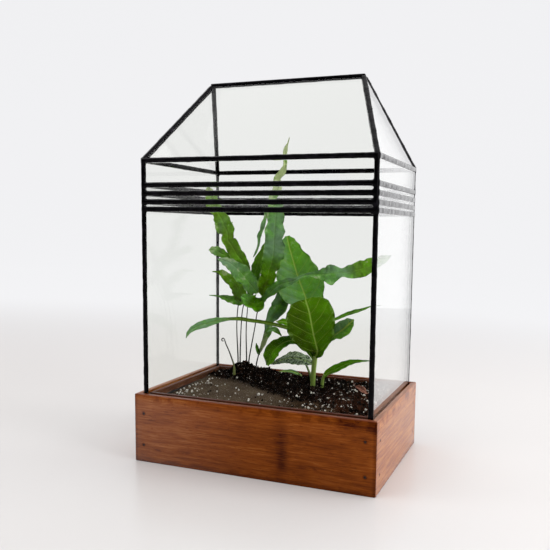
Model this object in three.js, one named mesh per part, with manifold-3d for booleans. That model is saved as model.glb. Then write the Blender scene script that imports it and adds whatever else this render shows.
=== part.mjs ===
// A planted glass terrarium: a glass house of soldered panes that stands in a groove along the top
// of a shallow bamboo box, over soil with a fern and a broad-leaved plant.
// Millimetres, +Z up, origin at the middle of the box's underside, front towards -Y.

import * as THREE from 'three';
import { mergeVertices } from 'three/addons/utils/BufferGeometryUtils.js';
import Module from 'manifold-3d';

const wasm = await Module();
wasm.setup();

// ---------------------------------------------------------------- driving dimensions
const CLEARANCE = 0.3;
// How far a cutting solid reaches past what it cuts.
const CUT_MARGIN = 1;

// Bamboo box
const BOX_WIDTH = 228.6;
const BOX_DEPTH = 152.4;
const BOX_HEIGHT = 63;
const WALL_THICKNESS = 13;
const EDGE_CHAMFER = 1;
const GROOVE_INSET = 4.9;
const GROOVE_WIDTH = 4.6;
const GROOVE_DEPTH = 9.5;
const FLOOR_THICKNESS = 6.4;

// Liner tray inside the box
const LINER_THICKNESS = 1.2;
const LINER_TOP = 57.5;

// Glass house
const GLASS_THICKNESS = 2.4;
const SEAM_INSET = GROOVE_INSET + GROOVE_WIDTH / 2;
const SEAM_HALF = 2;
const SEAM_FLAT = 1.3;
const POST_HALF = 1.5;
const POST_FLAT = 1;
const EAVE_HEIGHT = 273;
const BAND_HEIGHTS = [230.3, 236.8, 244.1, 251.6];
const RIDGE_HEIGHT = 348.7;
const RIDGE_HALF_LENGTH = 74.8;

// Soil
const SOIL_EDGE_LEVEL = 55.8;
const SOIL_RISE_TO_BACK = 0.03;
const SOIL_COLUMNS = 32;
const SOIL_ROWS = 20;
const SOIL_HEAPS = [
  { x: -62, y: 38, spreadX: 15, spreadY: 14, height: 15.5 },
  { x: -34, y: 34, spreadX: 18, spreadY: 18, height: 10 },
  { x: 0, y: 28, spreadX: 28, spreadY: 28, height: 5 },
  { x: 45, y: 5, spreadX: 45, spreadY: 40, height: 3.5 },
];
const SOIL_CRUMBS = { height: 0.8, turnX: 0.9, turnY: 0.8, warp: 1.2, warpTurn: 0.65 };
const STALK_HOLE_SIDES = 8;

// Plants
const BLADE_THICKNESS = 0.8;
const BLADE_COLUMNS = 4;
const BLADE_ROWS_PER_SPAN = 2;
const STALK_SIDES = 7;
const STALK_STEPS_PER_SPAN = 3;

// ---------------------------------------------------------------- derived dimensions
const HOUSE_HALF_WIDTH = BOX_WIDTH / 2 - SEAM_INSET;
const HOUSE_HALF_DEPTH = BOX_DEPTH / 2 - SEAM_INSET;
const SEAM_FOOT = BOX_HEIGHT - GROOVE_DEPTH + CLEARANCE;
const SILL_HEIGHT = SEAM_FOOT + SEAM_HALF;
const SEAM_RADIUS = Math.hypot(SEAM_HALF, SEAM_FLAT);
const LINER_INSET = WALL_THICKNESS + CLEARANCE;
const LINER_FOOT = FLOOR_THICKNESS + CLEARANCE;
const SOIL_INSET = LINER_INSET + LINER_THICKNESS + CLEARANCE;
const SOIL_FOOT = LINER_FOOT + LINER_THICKNESS + CLEARANCE;
const SOIL_HALF_WIDTH = BOX_WIDTH / 2 - SOIL_INSET;
const SOIL_HALF_DEPTH = BOX_DEPTH / 2 - SOIL_INSET;

// ---------------------------------------------------------------- materials
function material(colour, roughness, metalness = 0) {
  return new THREE.MeshStandardMaterial({ color: colour, roughness, metalness });
}

const bamboo = () => material(0x7a4528, 0.5);
const linerPlastic = () => material(0x1c1c1c, 0.6);
const patinaSolder = () => material(0x15121a, 0.35, 0.8);
const pottingSoil = () => material(0x2a211c, 0.95);
const fernGreen = () => material(0x4f8050, 0.55);
const leafGreen = () => material(0x3f7a1e, 0.45);
const greyLeaf = () => material(0x7c8a78, 0.7);

function glass() {
  const pane = material(0xeef4f2, 0.05);
  pane.transparent = true;
  pane.opacity = 0.2;
  return pane;
}

// ---------------------------------------------------------------- solids
function solidOf(geometry) {
  const bare = geometry.clone();
  bare.deleteAttribute('normal');
  bare.deleteAttribute('uv');
  const merged = mergeVertices(bare, 1e-4);
  const vertProperties = new Float32Array(merged.attributes.position.array);
  const triVerts = new Uint32Array(merged.index.array);
  return new wasm.Manifold(new wasm.Mesh({ numProp: 3, vertProperties, triVerts }));
}

function geometryOf(solid) {
  const mesh = solid.getMesh();
  const geometry = new THREE.BufferGeometry();
  geometry.setAttribute('position', new THREE.BufferAttribute(mesh.vertProperties, 3));
  geometry.setIndex(new THREE.BufferAttribute(mesh.triVerts, 1));
  geometry.computeVertexNormals();
  return geometry;
}

function fuse(geometries) {
  const joined = geometries.map(solidOf).reduce((sum, solid) => sum.add(solid));
  return geometryOf(joined);
}

function shapeOf(points) {
  return new THREE.Shape(points.map(([x, y]) => new THREE.Vector2(x, y)));
}

function boxBetween(low, high) {
  const size = high.map((value, axis) => value - low[axis]);
  const middle = high.map((value, axis) => (value + low[axis]) / 2);
  return new THREE.BoxGeometry(...size).translate(...middle);
}

// A flat outline in plan, raised from one height to another.
function prism(outline, bottom, top) {
  const geometry = new THREE.ExtrudeGeometry(shapeOf(outline), { depth: top - bottom, bevelEnabled: false });
  return geometry.translate(0, 0, bottom);
}

// Moves every edge of a convex outline, listed anticlockwise, inwards by the same distance.
function insetOutline(outline, distance) {
  const edges = outline.map((start, index) => {
    const end = outline[(index + 1) % outline.length];
    const length = Math.hypot(end[0] - start[0], end[1] - start[1]);
    const along = [(end[0] - start[0]) / length, (end[1] - start[1]) / length];
    const point = [start[0] - along[1] * distance, start[1] + along[0] * distance];
    return { along, point };
  });
  return edges.map((edge, index) => {
    const before = edges[(index + edges.length - 1) % edges.length];
    const cross = before.along[0] * edge.along[1] - before.along[1] * edge.along[0];
    const gapX = edge.point[0] - before.point[0];
    const gapY = edge.point[1] - before.point[1];
    const travel = (gapX * edge.along[1] - gapY * edge.along[0]) / cross;
    return [before.point[0] + before.along[0] * travel, before.point[1] + before.along[1] * travel];
  });
}

// ---------------------------------------------------------------- the scene graph
const terrarium = new THREE.Group();
const base = new THREE.Group();
const house = new THREE.Group();
const planting = new THREE.Group();
terrarium.add(base, house, planting);

function piece(parent, name, geometry, finish) {
  const mesh = new THREE.Mesh(geometry, finish);
  mesh.name = name;
  parent.add(mesh);
  return mesh;
}

// The four sides are built facing the front and turned to their places.
const SIDES = [
  { name: 'front', turn: 0, halfWidth: BOX_WIDTH / 2, halfDepth: BOX_DEPTH / 2 },
  { name: 'right', turn: Math.PI / 2, halfWidth: BOX_DEPTH / 2, halfDepth: BOX_WIDTH / 2 },
  { name: 'back', turn: Math.PI, halfWidth: BOX_WIDTH / 2, halfDepth: BOX_DEPTH / 2 },
  { name: 'left', turn: -Math.PI / 2, halfWidth: BOX_DEPTH / 2, halfDepth: BOX_WIDTH / 2 },
];

function sideGroup(parent, side) {
  const group = new THREE.Group();
  group.rotation.z = side.turn;
  parent.add(group);
  return group;
}

// ---------------------------------------------------------------- bamboo box
// The section of a wall, seen from its end: outer face at 0, groove cut down from the top.
function wallSection() {
  return [
    [EDGE_CHAMFER, 0],
    [WALL_THICKNESS, 0],
    [WALL_THICKNESS, BOX_HEIGHT],
    [GROOVE_INSET + GROOVE_WIDTH, BOX_HEIGHT],
    [GROOVE_INSET + GROOVE_WIDTH, BOX_HEIGHT - GROOVE_DEPTH],
    [GROOVE_INSET, BOX_HEIGHT - GROOVE_DEPTH],
    [GROOVE_INSET, BOX_HEIGHT],
    [EDGE_CHAMFER, BOX_HEIGHT],
    [0, BOX_HEIGHT - EDGE_CHAMFER],
    [0, EDGE_CHAMFER],
  ];
}

// Mitred at 45 degrees at both ends, with the box's upright edges chamfered.
function boxWall(side) {
  const length = 2 * side.halfWidth;
  const bar = new THREE.ExtrudeGeometry(shapeOf(wallSection()), { depth: length, bevelEnabled: false });
  const standing = new THREE.Matrix4().makeBasis(
    new THREE.Vector3(0, 1, 0),
    new THREE.Vector3(0, 0, 1),
    new THREE.Vector3(1, 0, 0),
  );
  bar.applyMatrix4(standing).translate(-side.halfWidth, -side.halfDepth, 0);
  const front = -side.halfDepth;
  const end = side.halfWidth - CLEARANCE / 2;
  const mitreReach = WALL_THICKNESS + CUT_MARGIN;
  const plan = [
    [end - EDGE_CHAMFER, front - CUT_MARGIN],
    [end - EDGE_CHAMFER, front],
    [end - EDGE_CHAMFER / 2, front + EDGE_CHAMFER / 2],
    [end - mitreReach, front + mitreReach],
    [-end + mitreReach, front + mitreReach],
    [-end + EDGE_CHAMFER / 2, front + EDGE_CHAMFER / 2],
    [-end + EDGE_CHAMFER, front],
    [-end + EDGE_CHAMFER, front - CUT_MARGIN],
  ];
  const mitre = prism(plan, -CUT_MARGIN, BOX_HEIGHT + CUT_MARGIN);
  return geometryOf(solidOf(bar).intersect(solidOf(mitre)));
}

function addBox() {
  for (const side of SIDES) {
    piece(sideGroup(base, side), `box_wall_${side.name}`, boxWall(side), bamboo());
  }
  const floorHalfWidth = BOX_WIDTH / 2 - WALL_THICKNESS - CLEARANCE;
  const floorHalfDepth = BOX_DEPTH / 2 - WALL_THICKNESS - CLEARANCE;
  const floor = boxBetween(
    [-floorHalfWidth, -floorHalfDepth, 0],
    [floorHalfWidth, floorHalfDepth, FLOOR_THICKNESS],
  );
  piece(base, 'box_floor', floor, bamboo());
}

function addLiner() {
  const halfWidth = BOX_WIDTH / 2 - LINER_INSET;
  const halfDepth = BOX_DEPTH / 2 - LINER_INSET;
  const wall = LINER_THICKNESS;
  const outside = boxBetween([-halfWidth, -halfDepth, LINER_FOOT], [halfWidth, halfDepth, LINER_TOP]);
  const inside = boxBetween(
    [-halfWidth + wall, -halfDepth + wall, LINER_FOOT + wall],
    [halfWidth - wall, halfDepth - wall, LINER_TOP + CUT_MARGIN],
  );
  const tray = geometryOf(solidOf(outside).subtract(solidOf(inside)));
  piece(base, 'liner_tray', tray, linerPlastic());
}

// ---------------------------------------------------------------- glass house
// A seam of solder is an eight-sided bead, flat where the panes meet it.
function seamSection(half, flat) {
  return [
    [half, -flat],
    [half, flat],
    [flat, half],
    [-flat, half],
    [-half, flat],
    [-half, -flat],
    [-flat, -half],
    [flat, -half],
  ];
}

function seam(start, end, outward, half = SEAM_HALF, flat = SEAM_FLAT) {
  const from = new THREE.Vector3(...start);
  const along = new THREE.Vector3(...end).sub(from);
  const length = along.length();
  along.normalize();
  const across = new THREE.Vector3(...outward).cross(along).normalize();
  const out = along.clone().cross(across);
  const bar = new THREE.ExtrudeGeometry(shapeOf(seamSection(half, flat)), {
    depth: length,
    bevelEnabled: false,
  });
  bar.applyMatrix4(new THREE.Matrix4().makeBasis(across, out, along));
  return bar.translate(from.x, from.y, from.z);
}

// The seams of one wall are soldered up flat: two thin posts, a sill, four bands and the eave. At
// the corners the posts of neighbouring walls meet in a mitre.
function wallLattice(halfWidth, halfDepth) {
  const outward = [0, -1, 0];
  const levels = [SILL_HEIGHT, ...BAND_HEIGHTS, EAVE_HEIGHT];
  const bars = levels.map((z) => seam([-halfWidth, -halfDepth, z], [halfWidth, -halfDepth, z], outward));
  const top = EAVE_HEIGHT + SEAM_HALF;
  const posts = [-halfWidth, halfWidth].map((x) => (
    seam([x, -halfDepth, SEAM_FOOT], [x, -halfDepth, top], outward, POST_HALF, POST_FLAT)
  ));
  const reach = 2 * SEAM_HALF;
  const end = halfWidth - CLEARANCE / 2;
  const plan = [
    [-end - reach, -halfDepth - reach],
    [end + reach, -halfDepth - reach],
    [end - reach, -halfDepth + reach],
    [-end + reach, -halfDepth + reach],
  ];
  const joined = solidOf(fuse([...posts, ...bars]));
  return geometryOf(joined.intersect(solidOf(prism(plan, 0, RIDGE_HEIGHT))));
}

// The panes of one wall fill the spaces between its seams.
function addWallPanes(group, name, halfWidth, halfDepth) {
  const side = POST_HALF + CLEARANCE;
  const edge = SEAM_HALF + CLEARANCE;
  const levels = [SILL_HEIGHT, ...BAND_HEIGHTS, EAVE_HEIGHT];
  const paneNames = ['main', 'strip_1', 'strip_2', 'strip_3', 'top'];
  paneNames.forEach((paneName, index) => {
    const pane = boxBetween(
      [-halfWidth + side, -halfDepth - GLASS_THICKNESS / 2, levels[index] + edge],
      [halfWidth - side, -halfDepth + GLASS_THICKNESS / 2, levels[index + 1] - edge],
    );
    piece(group, `glass_${name}_${paneName}`, pane, glass());
  });
}

// A roof pane lies in the plane through the eave line and the ridge line, or the ridge's end.
function addRoofPane(group, name, eaveHalf, halfDepth, topHalf, topDepth) {
  const run = halfDepth - topDepth;
  const rise = RIDGE_HEIGHT - EAVE_HEIGHT;
  const slope = Math.hypot(run, rise);
  const outline = topHalf > 0
    ? [[-eaveHalf, 0], [eaveHalf, 0], [topHalf, slope], [-topHalf, slope]]
    : [[-eaveHalf, 0], [eaveHalf, 0], [0, slope]];
  const inset = insetOutline(outline, SEAM_RADIUS + CLEARANCE);
  const pane = prism(inset, -GLASS_THICKNESS / 2, GLASS_THICKNESS / 2);
  const mesh = piece(group, `glass_roof_${name}`, pane, glass());
  mesh.position.set(0, -halfDepth, EAVE_HEIGHT);
  mesh.rotation.x = Math.atan2(rise, run);
}

function addHouseWalls() {
  for (const side of SIDES) {
    const halfWidth = side.halfWidth - SEAM_INSET;
    const halfDepth = side.halfDepth - SEAM_INSET;
    const group = sideGroup(house, side);
    piece(group, `solder_${side.name}`, wallLattice(halfWidth, halfDepth), patinaSolder());
    addWallPanes(group, side.name, halfWidth, halfDepth);
    const facesRidge = side.halfWidth > side.halfDepth;
    const topHalf = facesRidge ? RIDGE_HALF_LENGTH : 0;
    const topDepth = facesRidge ? 0 : RIDGE_HALF_LENGTH;
    addRoofPane(group, side.name, halfWidth, halfDepth, topHalf, topDepth);
  }
}

// The hips climb from the eave's corners and stop under the ridge, each on its own side of it.
function addRoofSeams() {
  const ridgeEnd = RIDGE_HALF_LENGTH + SEAM_FLAT;
  const ridge = seam([-ridgeEnd, 0, RIDGE_HEIGHT], [ridgeEnd, 0, RIDGE_HEIGHT], [0, 0, 1]);
  piece(house, 'solder_ridge', ridge, patinaSolder());
  const bottom = EAVE_HEIGHT + SEAM_HALF + CLEARANCE;
  const top = RIDGE_HEIGHT - SEAM_HALF - CLEARANCE;
  for (const [alongX, xName] of [[-1, 'left'], [1, 'right']]) {
    for (const [alongY, yName] of [[-1, 'front'], [1, 'back']]) {
      const corner = [alongX * HOUSE_HALF_WIDTH, alongY * HOUSE_HALF_DEPTH, EAVE_HEIGHT];
      const peak = [alongX * RIDGE_HALF_LENGTH, 0, RIDGE_HEIGHT];
      const hip = seam(corner, peak, [alongX, alongY, 1]);
      const nearY = alongY * CLEARANCE / 2;
      const farY = alongY * BOX_DEPTH;
      const room = boxBetween(
        [-BOX_WIDTH, Math.min(nearY, farY), bottom],
        [BOX_WIDTH, Math.max(nearY, farY), top],
      );
      const trimmed = geometryOf(solidOf(hip).intersect(solidOf(room)));
      piece(house, `solder_hip_${yName}_${xName}`, trimmed, patinaSolder());
    }
  }
}

// ---------------------------------------------------------------- plants
// Points along a plant are [x, y, z, half width of the blade or radius of the stalk].
function smoothLine(points) {
  const line = points.map(([x, y, z]) => new THREE.Vector3(x, y, z));
  return new THREE.CatmullRomCurve3(line, false, 'catmullrom', 0.5);
}

function sizeAlong(points, fraction) {
  const place = fraction * (points.length - 1);
  const index = Math.min(Math.floor(place), points.length - 2);
  const blend = place - index;
  const eased = blend * blend * (3 - 2 * blend);
  return points[index][3] + (points[index + 1][3] - points[index][3]) * eased;
}

// Joins rows of rings into a closed skin: every ring has the same number of points.
function skinOf(rings) {
  const around = rings[0].length;
  const positions = rings.flat().flatMap((point) => [point.x, point.y, point.z]);
  const triangles = [];
  for (let row = 0; row + 1 < rings.length; row += 1) {
    for (let step = 0; step < around; step += 1) {
      const next = (step + 1) % around;
      const here = row * around;
      const above = here + around;
      triangles.push(here + step, here + next, above + next);
      triangles.push(here + step, above + next, above + step);
    }
  }
  return { positions, triangles };
}

function closedGeometry(positions, triangles) {
  const geometry = new THREE.BufferGeometry();
  geometry.setAttribute('position', new THREE.Float32BufferAttribute(positions, 3));
  geometry.setIndex(triangles);
  return geometry;
}

// A stalk is a tapering round rod along its points.
function stalk(points) {
  const line = smoothLine(points);
  const steps = (points.length - 1) * STALK_STEPS_PER_SPAN;
  const sideways = new THREE.Vector3(1, 0, 0);
  const rings = [];
  for (let row = 0; row <= steps; row += 1) {
    const fraction = row / steps;
    const centre = line.getPoint(fraction);
    const along = line.getTangent(fraction);
    const out = along.clone().cross(sideways).normalize();
    const across = out.clone().cross(along);
    const radius = sizeAlong(points, fraction);
    const ring = [];
    for (let step = 0; step < STALK_SIDES; step += 1) {
      const angle = 2 * Math.PI * step / STALK_SIDES;
      const offset = across.clone().multiplyScalar(radius * Math.cos(angle));
      offset.addScaledVector(out, radius * Math.sin(angle));
      ring.push(offset.add(centre));
    }
    rings.push(ring);
  }
  const { positions, triangles } = skinOf(rings);
  const last = steps * STALK_SIDES;
  for (let step = 1; step + 1 < STALK_SIDES; step += 1) {
    triangles.push(0, step + 1, step);
    triangles.push(last, last + step, last + step + 1);
  }
  return closedGeometry(positions, triangles);
}

// A blade is a thin leaf along its points. Its upper face looks towards `facing`. `fold` lifts both
// halves off the midrib, and `wave` ripples the margins, `ripples` times along the blade.
function blade({ points, facing, fold = 0.15, wave = 0, ripples = 3 }) {
  const line = smoothLine(points);
  const rows = (points.length - 1) * BLADE_ROWS_PER_SPAN;
  const towards = new THREE.Vector3(...facing);
  const rings = [];
  for (let row = 0; row <= rows; row += 1) {
    const fraction = row / rows;
    const centre = line.getPoint(fraction);
    const along = line.getTangent(fraction);
    const across = along.clone().cross(towards).normalize();
    const up = across.clone().cross(along).normalize();
    const halfWidth = Math.max(sizeAlong(points, fraction), BLADE_THICKNESS / 2);
    const upper = [];
    const lower = [];
    for (let column = 0; column <= BLADE_COLUMNS; column += 1) {
      const side = 2 * column / BLADE_COLUMNS - 1;
      const turn = 2 * Math.PI * ripples * fraction + (side > 0 ? Math.PI / 2 : 0);
      const ripple = wave * Math.sin(turn) * side * side;
      const lift = halfWidth * (fold * Math.abs(side) + ripple);
      const middle = centre.clone().addScaledVector(across, side * halfWidth).addScaledVector(up, lift);
      upper.push(middle.clone().addScaledVector(up, BLADE_THICKNESS / 2));
      lower.push(middle.clone().addScaledVector(up, -BLADE_THICKNESS / 2));
    }
    rings.push([...upper, ...lower.reverse()]);
  }
  const { positions, triangles } = skinOf(rings);
  const around = 2 * (BLADE_COLUMNS + 1);
  const last = rows * around;
  for (let column = 0; column < BLADE_COLUMNS; column += 1) {
    const under = around - 1 - column;
    triangles.push(column, under, column + 1);
    triangles.push(column + 1, under, under - 1);
    triangles.push(last + column, last + column + 1, last + under);
    triangles.push(last + column + 1, last + under - 1, last + under);
  }
  return closedGeometry(positions, triangles);
}

const TO_VIEWER = [0.35, -0.9, 0.15];
const UPWARD = [0, -0.5, 0.85];

// Each plant: stalks that stand in the soil, branches that grow from them, and blades.
const PLANTS = [
  {
    name: 'fern_frond_main',
    finish: fernGreen,
    stalks: [
      [[-53, 36, 61, 0.9], [-53, 36, 77, 0.9], [-49, 34, 95, 0.8], [-44, 31, 114, 0.7], [-40, 28, 130, 0.7],
        [-34, 25, 145, 0.8], [-30, 24, 158, 0.6]],
    ],
    blades: [
      {
        points: [[-32, 24.5, 147.5, 2.5], [-30.5, 24, 152, 7.3], [-28.5, 24, 160.5, 8],
          [-26.5, 24, 167, 7.7], [-25, 23, 174, 7.8], [-22.5, 23, 179.5, 9.3], [-20.5, 22, 187.5, 9.9],
          [-19.5, 22, 195, 9.9], [-19.5, 22, 203, 9.2], [-19, 22, 210.5, 9.4], [-18.5, 22, 218.5, 9.2],
          [-18, 22, 226, 8], [-18.5, 22, 235, 7.6], [-22, 23, 243.5, 4], [-17.5, 25, 254, 4.3],
          [-19, 27, 263, 3.6], [-13.5, 28, 270.5, 3.2], [-11.5, 29, 276.5, 1.9], [-12, 30, 290, 2.1],
          [-10, 32, 298, 0.6], [-9, 33, 303, 0.4]],
        facing: TO_VIEWER, fold: 0.1, wave: 0.2, ripples: 5,
      },
      {
        points: [[-21, 21.5, 234, 1], [-27, 20, 229.5, 1.2], [-28.5, 20, 224.5, 1.2],
          [-30.5, 19, 217.5, 1.7], [-32, 19, 212.5, 1.1], [-34, 18, 207.5, 1.7], [-34, 18, 203, 0.9],
          [-34, 17, 198.5, 0.8], [-36.5, 17, 191.5, 0.8], [-39.5, 17, 186.5, 0.5]],
        facing: [0.5, -0.9, 0.1], wave: 0.3, ripples: 3,
      },
      {
        points: [[-29.5, 26, 143.5, 1.5], [-32.5, 25, 142.5, 6.5], [-37.5, 22, 139.5, 8.4],
          [-42, 18, 141, 7.6], [-46, 15, 144.5, 6], [-50.5, 12.5, 147.5, 2]],
        facing: [0.2, -0.8, 0.6], fold: 0.2, wave: 0.25, ripples: 2,
      },
      {
        points: [[-32.5, 24.5, 143.5, 2.5], [-20.5, 21, 154.3, 4.5], [-11.3, 18.3, 160.3, 4.5],
          [-2.3, 17.3, 163.2, 4], [5, 17, 165.7, 2.5], [10.5, 19, 169, 1.4], [18.5, 22, 171, 2.2],
          [26.5, 23, 171.5, 4], [32, 25, 171.5, 7.7], [37, 26, 172, 9.4], [43, 28, 173, 7.7],
          [49, 31, 173.5, 4.4], [56, 34, 174.5, 6.3], [63, 36, 176.5, 7.7], [70, 38, 179, 7.2],
          [77, 40, 183, 5.9], [85, 43, 187, 3.8], [93, 46, 191, 0.5]],
        facing: TO_VIEWER, fold: 0.1, wave: 0.2, ripples: 6,
      },
    ],
  },
  {
    name: 'fern_frond_tall_left',
    finish: fernGreen,
    stalks: [
      [[-65, 40, 61, 0.9], [-65, 40, 80, 0.9], [-62, 36, 112, 0.7], [-59, 34, 133, 0.7],
        [-53, 33.5, 146, 0.8], [-50, 33.7, 156, 0.9]],
    ],
    blades: [
      {
        points: [[-40.5, 29, 149.5, 2], [-42.5, 29.5, 152, 5.8], [-48, 29, 158, 9],
          [-53.5, 28.5, 164.5, 8.6], [-59, 28.5, 170, 8.6], [-64, 28, 174.5, 7.5], [-70, 28, 178.5, 6.2],
          [-75.5, 28, 180.5, 5], [-80.5, 28, 182, 2.6], [-85, 28, 182.5, 0.5]],
        facing: [0.2, -0.75, 0.6], fold: 0.15, wave: 0.12, ripples: 2,
      },
      {
        points: [[-60, 35, 173, 1.5], [-66, 34.5, 179.5, 2.2], [-72, 34, 183.5, 2.8], [-78, 34, 186, 3.6],
          [-84.5, 33.5, 188.5, 5.2], [-89.5, 33, 191, 5.6], [-93.5, 32.5, 191.5, 4],
          [-97.5, 32, 191.5, 0.6]],
        facing: [0.2, -0.8, 0.5], fold: 0.15, wave: 0.2, ripples: 2,
      },
      {
        points: [[-49, 33.5, 152, 2], [-51.5, 34, 160, 3.6], [-55, 34.5, 168.5, 4.3],
          [-58.5, 35, 177.5, 5.6], [-62.5, 36, 183, 6.2], [-67, 36, 187.5, 7], [-70, 36, 192.5, 7.6],
          [-73.5, 36, 197.5, 6.9], [-76.5, 35, 202, 6.2], [-76.5, 34.5, 207.5, 5.8], [-77.5, 34, 212, 8.2],
          [-80.5, 34, 216.5, 10], [-81.5, 33, 221, 9.2], [-84, 33, 225, 7.2], [-87, 33, 229.5, 5.7],
          [-92, 32, 236.5, 7], [-93.5, 31, 244.5, 6], [-96, 30, 251.5, 4], [-97.5, 30, 257, 0.5]],
        facing: TO_VIEWER, fold: 0.1, wave: 0.2, ripples: 5,
      },
    ],
  },
  {
    name: 'fern_frond_low_left',
    finish: fernGreen,
    stalks: [
      [[-69, 43, 61, 0.9], [-69, 43, 80, 0.9], [-69, 40, 112, 0.7], [-66, 37, 134, 0.7],
        [-62, 36, 142, 0.6]],
    ],
    blades: [
      {
        points: [[-57.5, 36.8, 138, 2.4], [-60.5, 36.8, 139.2, 4.9], [-67, 36, 140, 5],
          [-74.5, 35, 141.3, 4.1], [-81, 34, 142.8, 2.6], [-87, 33, 144, 1], [-97, 32, 144.5, 0.5]],
        facing: [0.2, -0.8, 0.5], fold: 0.15,
      },
      {
        points: [[-62, 37.5, 137.5, 3], [-63, 37, 143.5, 6.2], [-64.5, 36.5, 149.5, 6.8],
          [-67.5, 36, 155.5, 6.4], [-73, 36, 160.5, 5.4], [-79.5, 36, 164.8, 4.8],
          [-84.5, 36, 168, 3.4], [-89, 35, 169, 1], [-95, 35, 169, 0.5]],
        facing: TO_VIEWER, fold: 0.15,
      },
    ],
  },
  {
    name: 'fern_frond_behind',
    finish: fernGreen,
    stalks: [
      [[-60, 45, 61, 0.9], [-60, 45, 80, 0.9], [-60, 44, 112, 0.7], [-57, 43, 143, 0.6]],
    ],
    blades: [
      {
        points: [[-57, 43, 141, 2], [-52.5, 43, 155, 5], [-48.5, 43, 171, 5.9], [-44, 42, 181.5, 5.5],
          [-38, 41, 194, 3.8], [-32, 41, 206, 0.6]],
        facing: TO_VIEWER, fold: 0.15, wave: 0.15, ripples: 2,
      },
    ],
  },
  {
    name: 'fern_frond_small',
    finish: fernGreen,
    stalks: [
      [[-43, 33, 61, 0.9], [-43, 33, 75, 0.9], [-39, 31.5, 89, 0.8], [-34, 30, 105, 0.7],
        [-30, 28, 118, 0.6]],
    ],
    blades: [
      {
        points: [[-31, 28, 112, 1], [-27, 28.5, 121.5, 4], [-21, 29.5, 131, 7], [-15.5, 30, 140, 8.2],
          [-12, 30.5, 148, 7], [-10, 31, 154, 3.5], [-9, 31, 157.5, 0.8]],
        facing: [0.1, -0.9, -0.2], fold: 0.2, wave: 0.12, ripples: 2,
      },
      {
        points: [[-32.5, 29.5, 110, 1], [-24.5, 25, 114, 2.8], [-17.5, 24, 114, 2.8], [-11, 23, 109, 0.6]],
        facing: UPWARD, fold: 0.2,
      },
      {
        points: [[-39, 31.5, 89, 0.8], [-34, 28, 95, 3.2], [-35, 27, 100.5, 2.4], [-36.5, 26, 106, 0.5]],
        facing: TO_VIEWER, fold: 0.2,
      },
    ],
  },
  {
    name: 'fern_young_frond',
    finish: fernGreen,
    stalks: [
      [[-63.5, 24, 50, 2.2], [-63.5, 24, 66, 2.2], [-64.5, 24, 76, 1.3], [-68.5, 24, 88, 1],
        [-73, 24, 97, 0.9], [-75.5, 24, 100.5, 0.8], [-78, 24, 100, 0.8], [-78.5, 24, 97, 0.7],
        [-76.5, 24, 95.8, 0.6]],
    ],
    blades: [],
  },
  {
    name: 'leafy_stem',
    finish: leafGreen,
    stalks: [
      [[24, 20, 50, 2.6], [24, 20, 68, 2.5], [25, 19, 80, 2.3], [26.5, 17, 92, 2], [25, 17, 103, 1.6],
        [22.5, 19, 117, 1.2]],
    ],
    blades: [
      {
        points: [[26.5, 16.5, 91, 1.7], [31.5, 11, 98, 6.4], [32, 5, 107, 14.5], [31.2, 0, 117, 20.3],
          [30.5, -4, 127.5, 22.9], [29.5, -6, 136, 22.9], [27.8, -6.5, 142.5, 20.6],
          [25.8, -6, 147.5, 16], [24.8, -5.5, 150, 8.8]],
        facing: TO_VIEWER, fold: 0.12,
      },
      {
        points: [[22.5, 19, 114, 1.2], [22, 20.5, 125, 1.8], [18.5, 24, 135, 8], [14, 28, 143.5, 16],
          [8.5, 31, 154, 22.2], [1.5, 34, 167.5, 21.8], [-3.5, 35, 181, 17], [-8, 36, 194, 11],
          [-10.8, 37, 202.5, 7], [-12, 37.5, 207.5, 2.5]],
        facing: TO_VIEWER, fold: 0.12,
      },
      {
        points: [[24, 18, 109, 1.2], [32.5, 20, 120, 1.5], [41, 21, 126.5, 1.9], [48.5, 23, 130.5, 2.3],
          [55.5, 26, 134, 2.9], [62.5, 28, 136.5, 3], [70, 31, 139, 1.9], [77, 33, 142, 0.9],
          [86.5, 35, 143.5, 0.5]],
        facing: UPWARD, fold: 0.2,
      },
      {
        points: [[26.5, 16.5, 91, 1.3], [35, 14, 102, 1.8], [42, 12, 110, 2.6], [48, 11, 115.5, 4.4],
          [54, 10, 119.5, 7.4], [59.5, 9, 124, 7.8], [64.5, 9, 129, 5.2], [67.5, 9, 132, 0.8]],
        facing: [0.3, -0.9, 0.4], fold: 0.5,
      },
      {
        points: [[25.5, 17, 100, 1.3], [13.5, 13, 114, 1.8], [0, 10, 119.5, 2], [-14.5, 8, 122.5, 2],
          [-27, 7, 124, 2], [-37.5, 5, 125, 2], [-47.5, 4, 126, 2.1], [-57.5, 2, 125.5, 1.9],
          [-64.5, -1, 124.5, 2.7], [-71, -3, 123, 4.2], [-78.5, -4, 120.5, 5], [-86.5, -6, 118, 4.7],
          [-93.5, -7, 114.5, 3.6], [-98, -8, 110.5, 2.3], [-101, -8, 105, 0.5]],
        facing: [0, -0.75, 0.65], fold: 0.2,
      },
      {
        points: [[26.5, 17, 88, 1.3], [23, 10, 98, 2.6], [19.5, 6, 104.5, 4], [14, 3, 108.5, 4.6],
          [7, 0, 109, 5.2], [0.5, -3, 106, 7], [-6, -5, 100.5, 8.6], [-10, -6, 93.5, 7.6],
          [-13, -6, 84.5, 1.6]],
        facing: [0.1, -0.7, 0.7], fold: 0.25,
      },
      {
        points: [[24, 18, 105, 1], [9.5, 21, 116.5, 3], [-3, 23, 122, 4.8], [-11, 24, 123, 4.4],
          [-18, 25, 122.5, 0.8]],
        facing: UPWARD, fold: 0.2,
      },
    ],
  },
  {
    name: 'leaf_low_right',
    finish: leafGreen,
    stalks: [
      [[34.5, 18, 52, 1.7], [34.5, 18, 68, 1.6], [36.5, 18, 75, 1.4]],
    ],
    blades: [
      {
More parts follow.
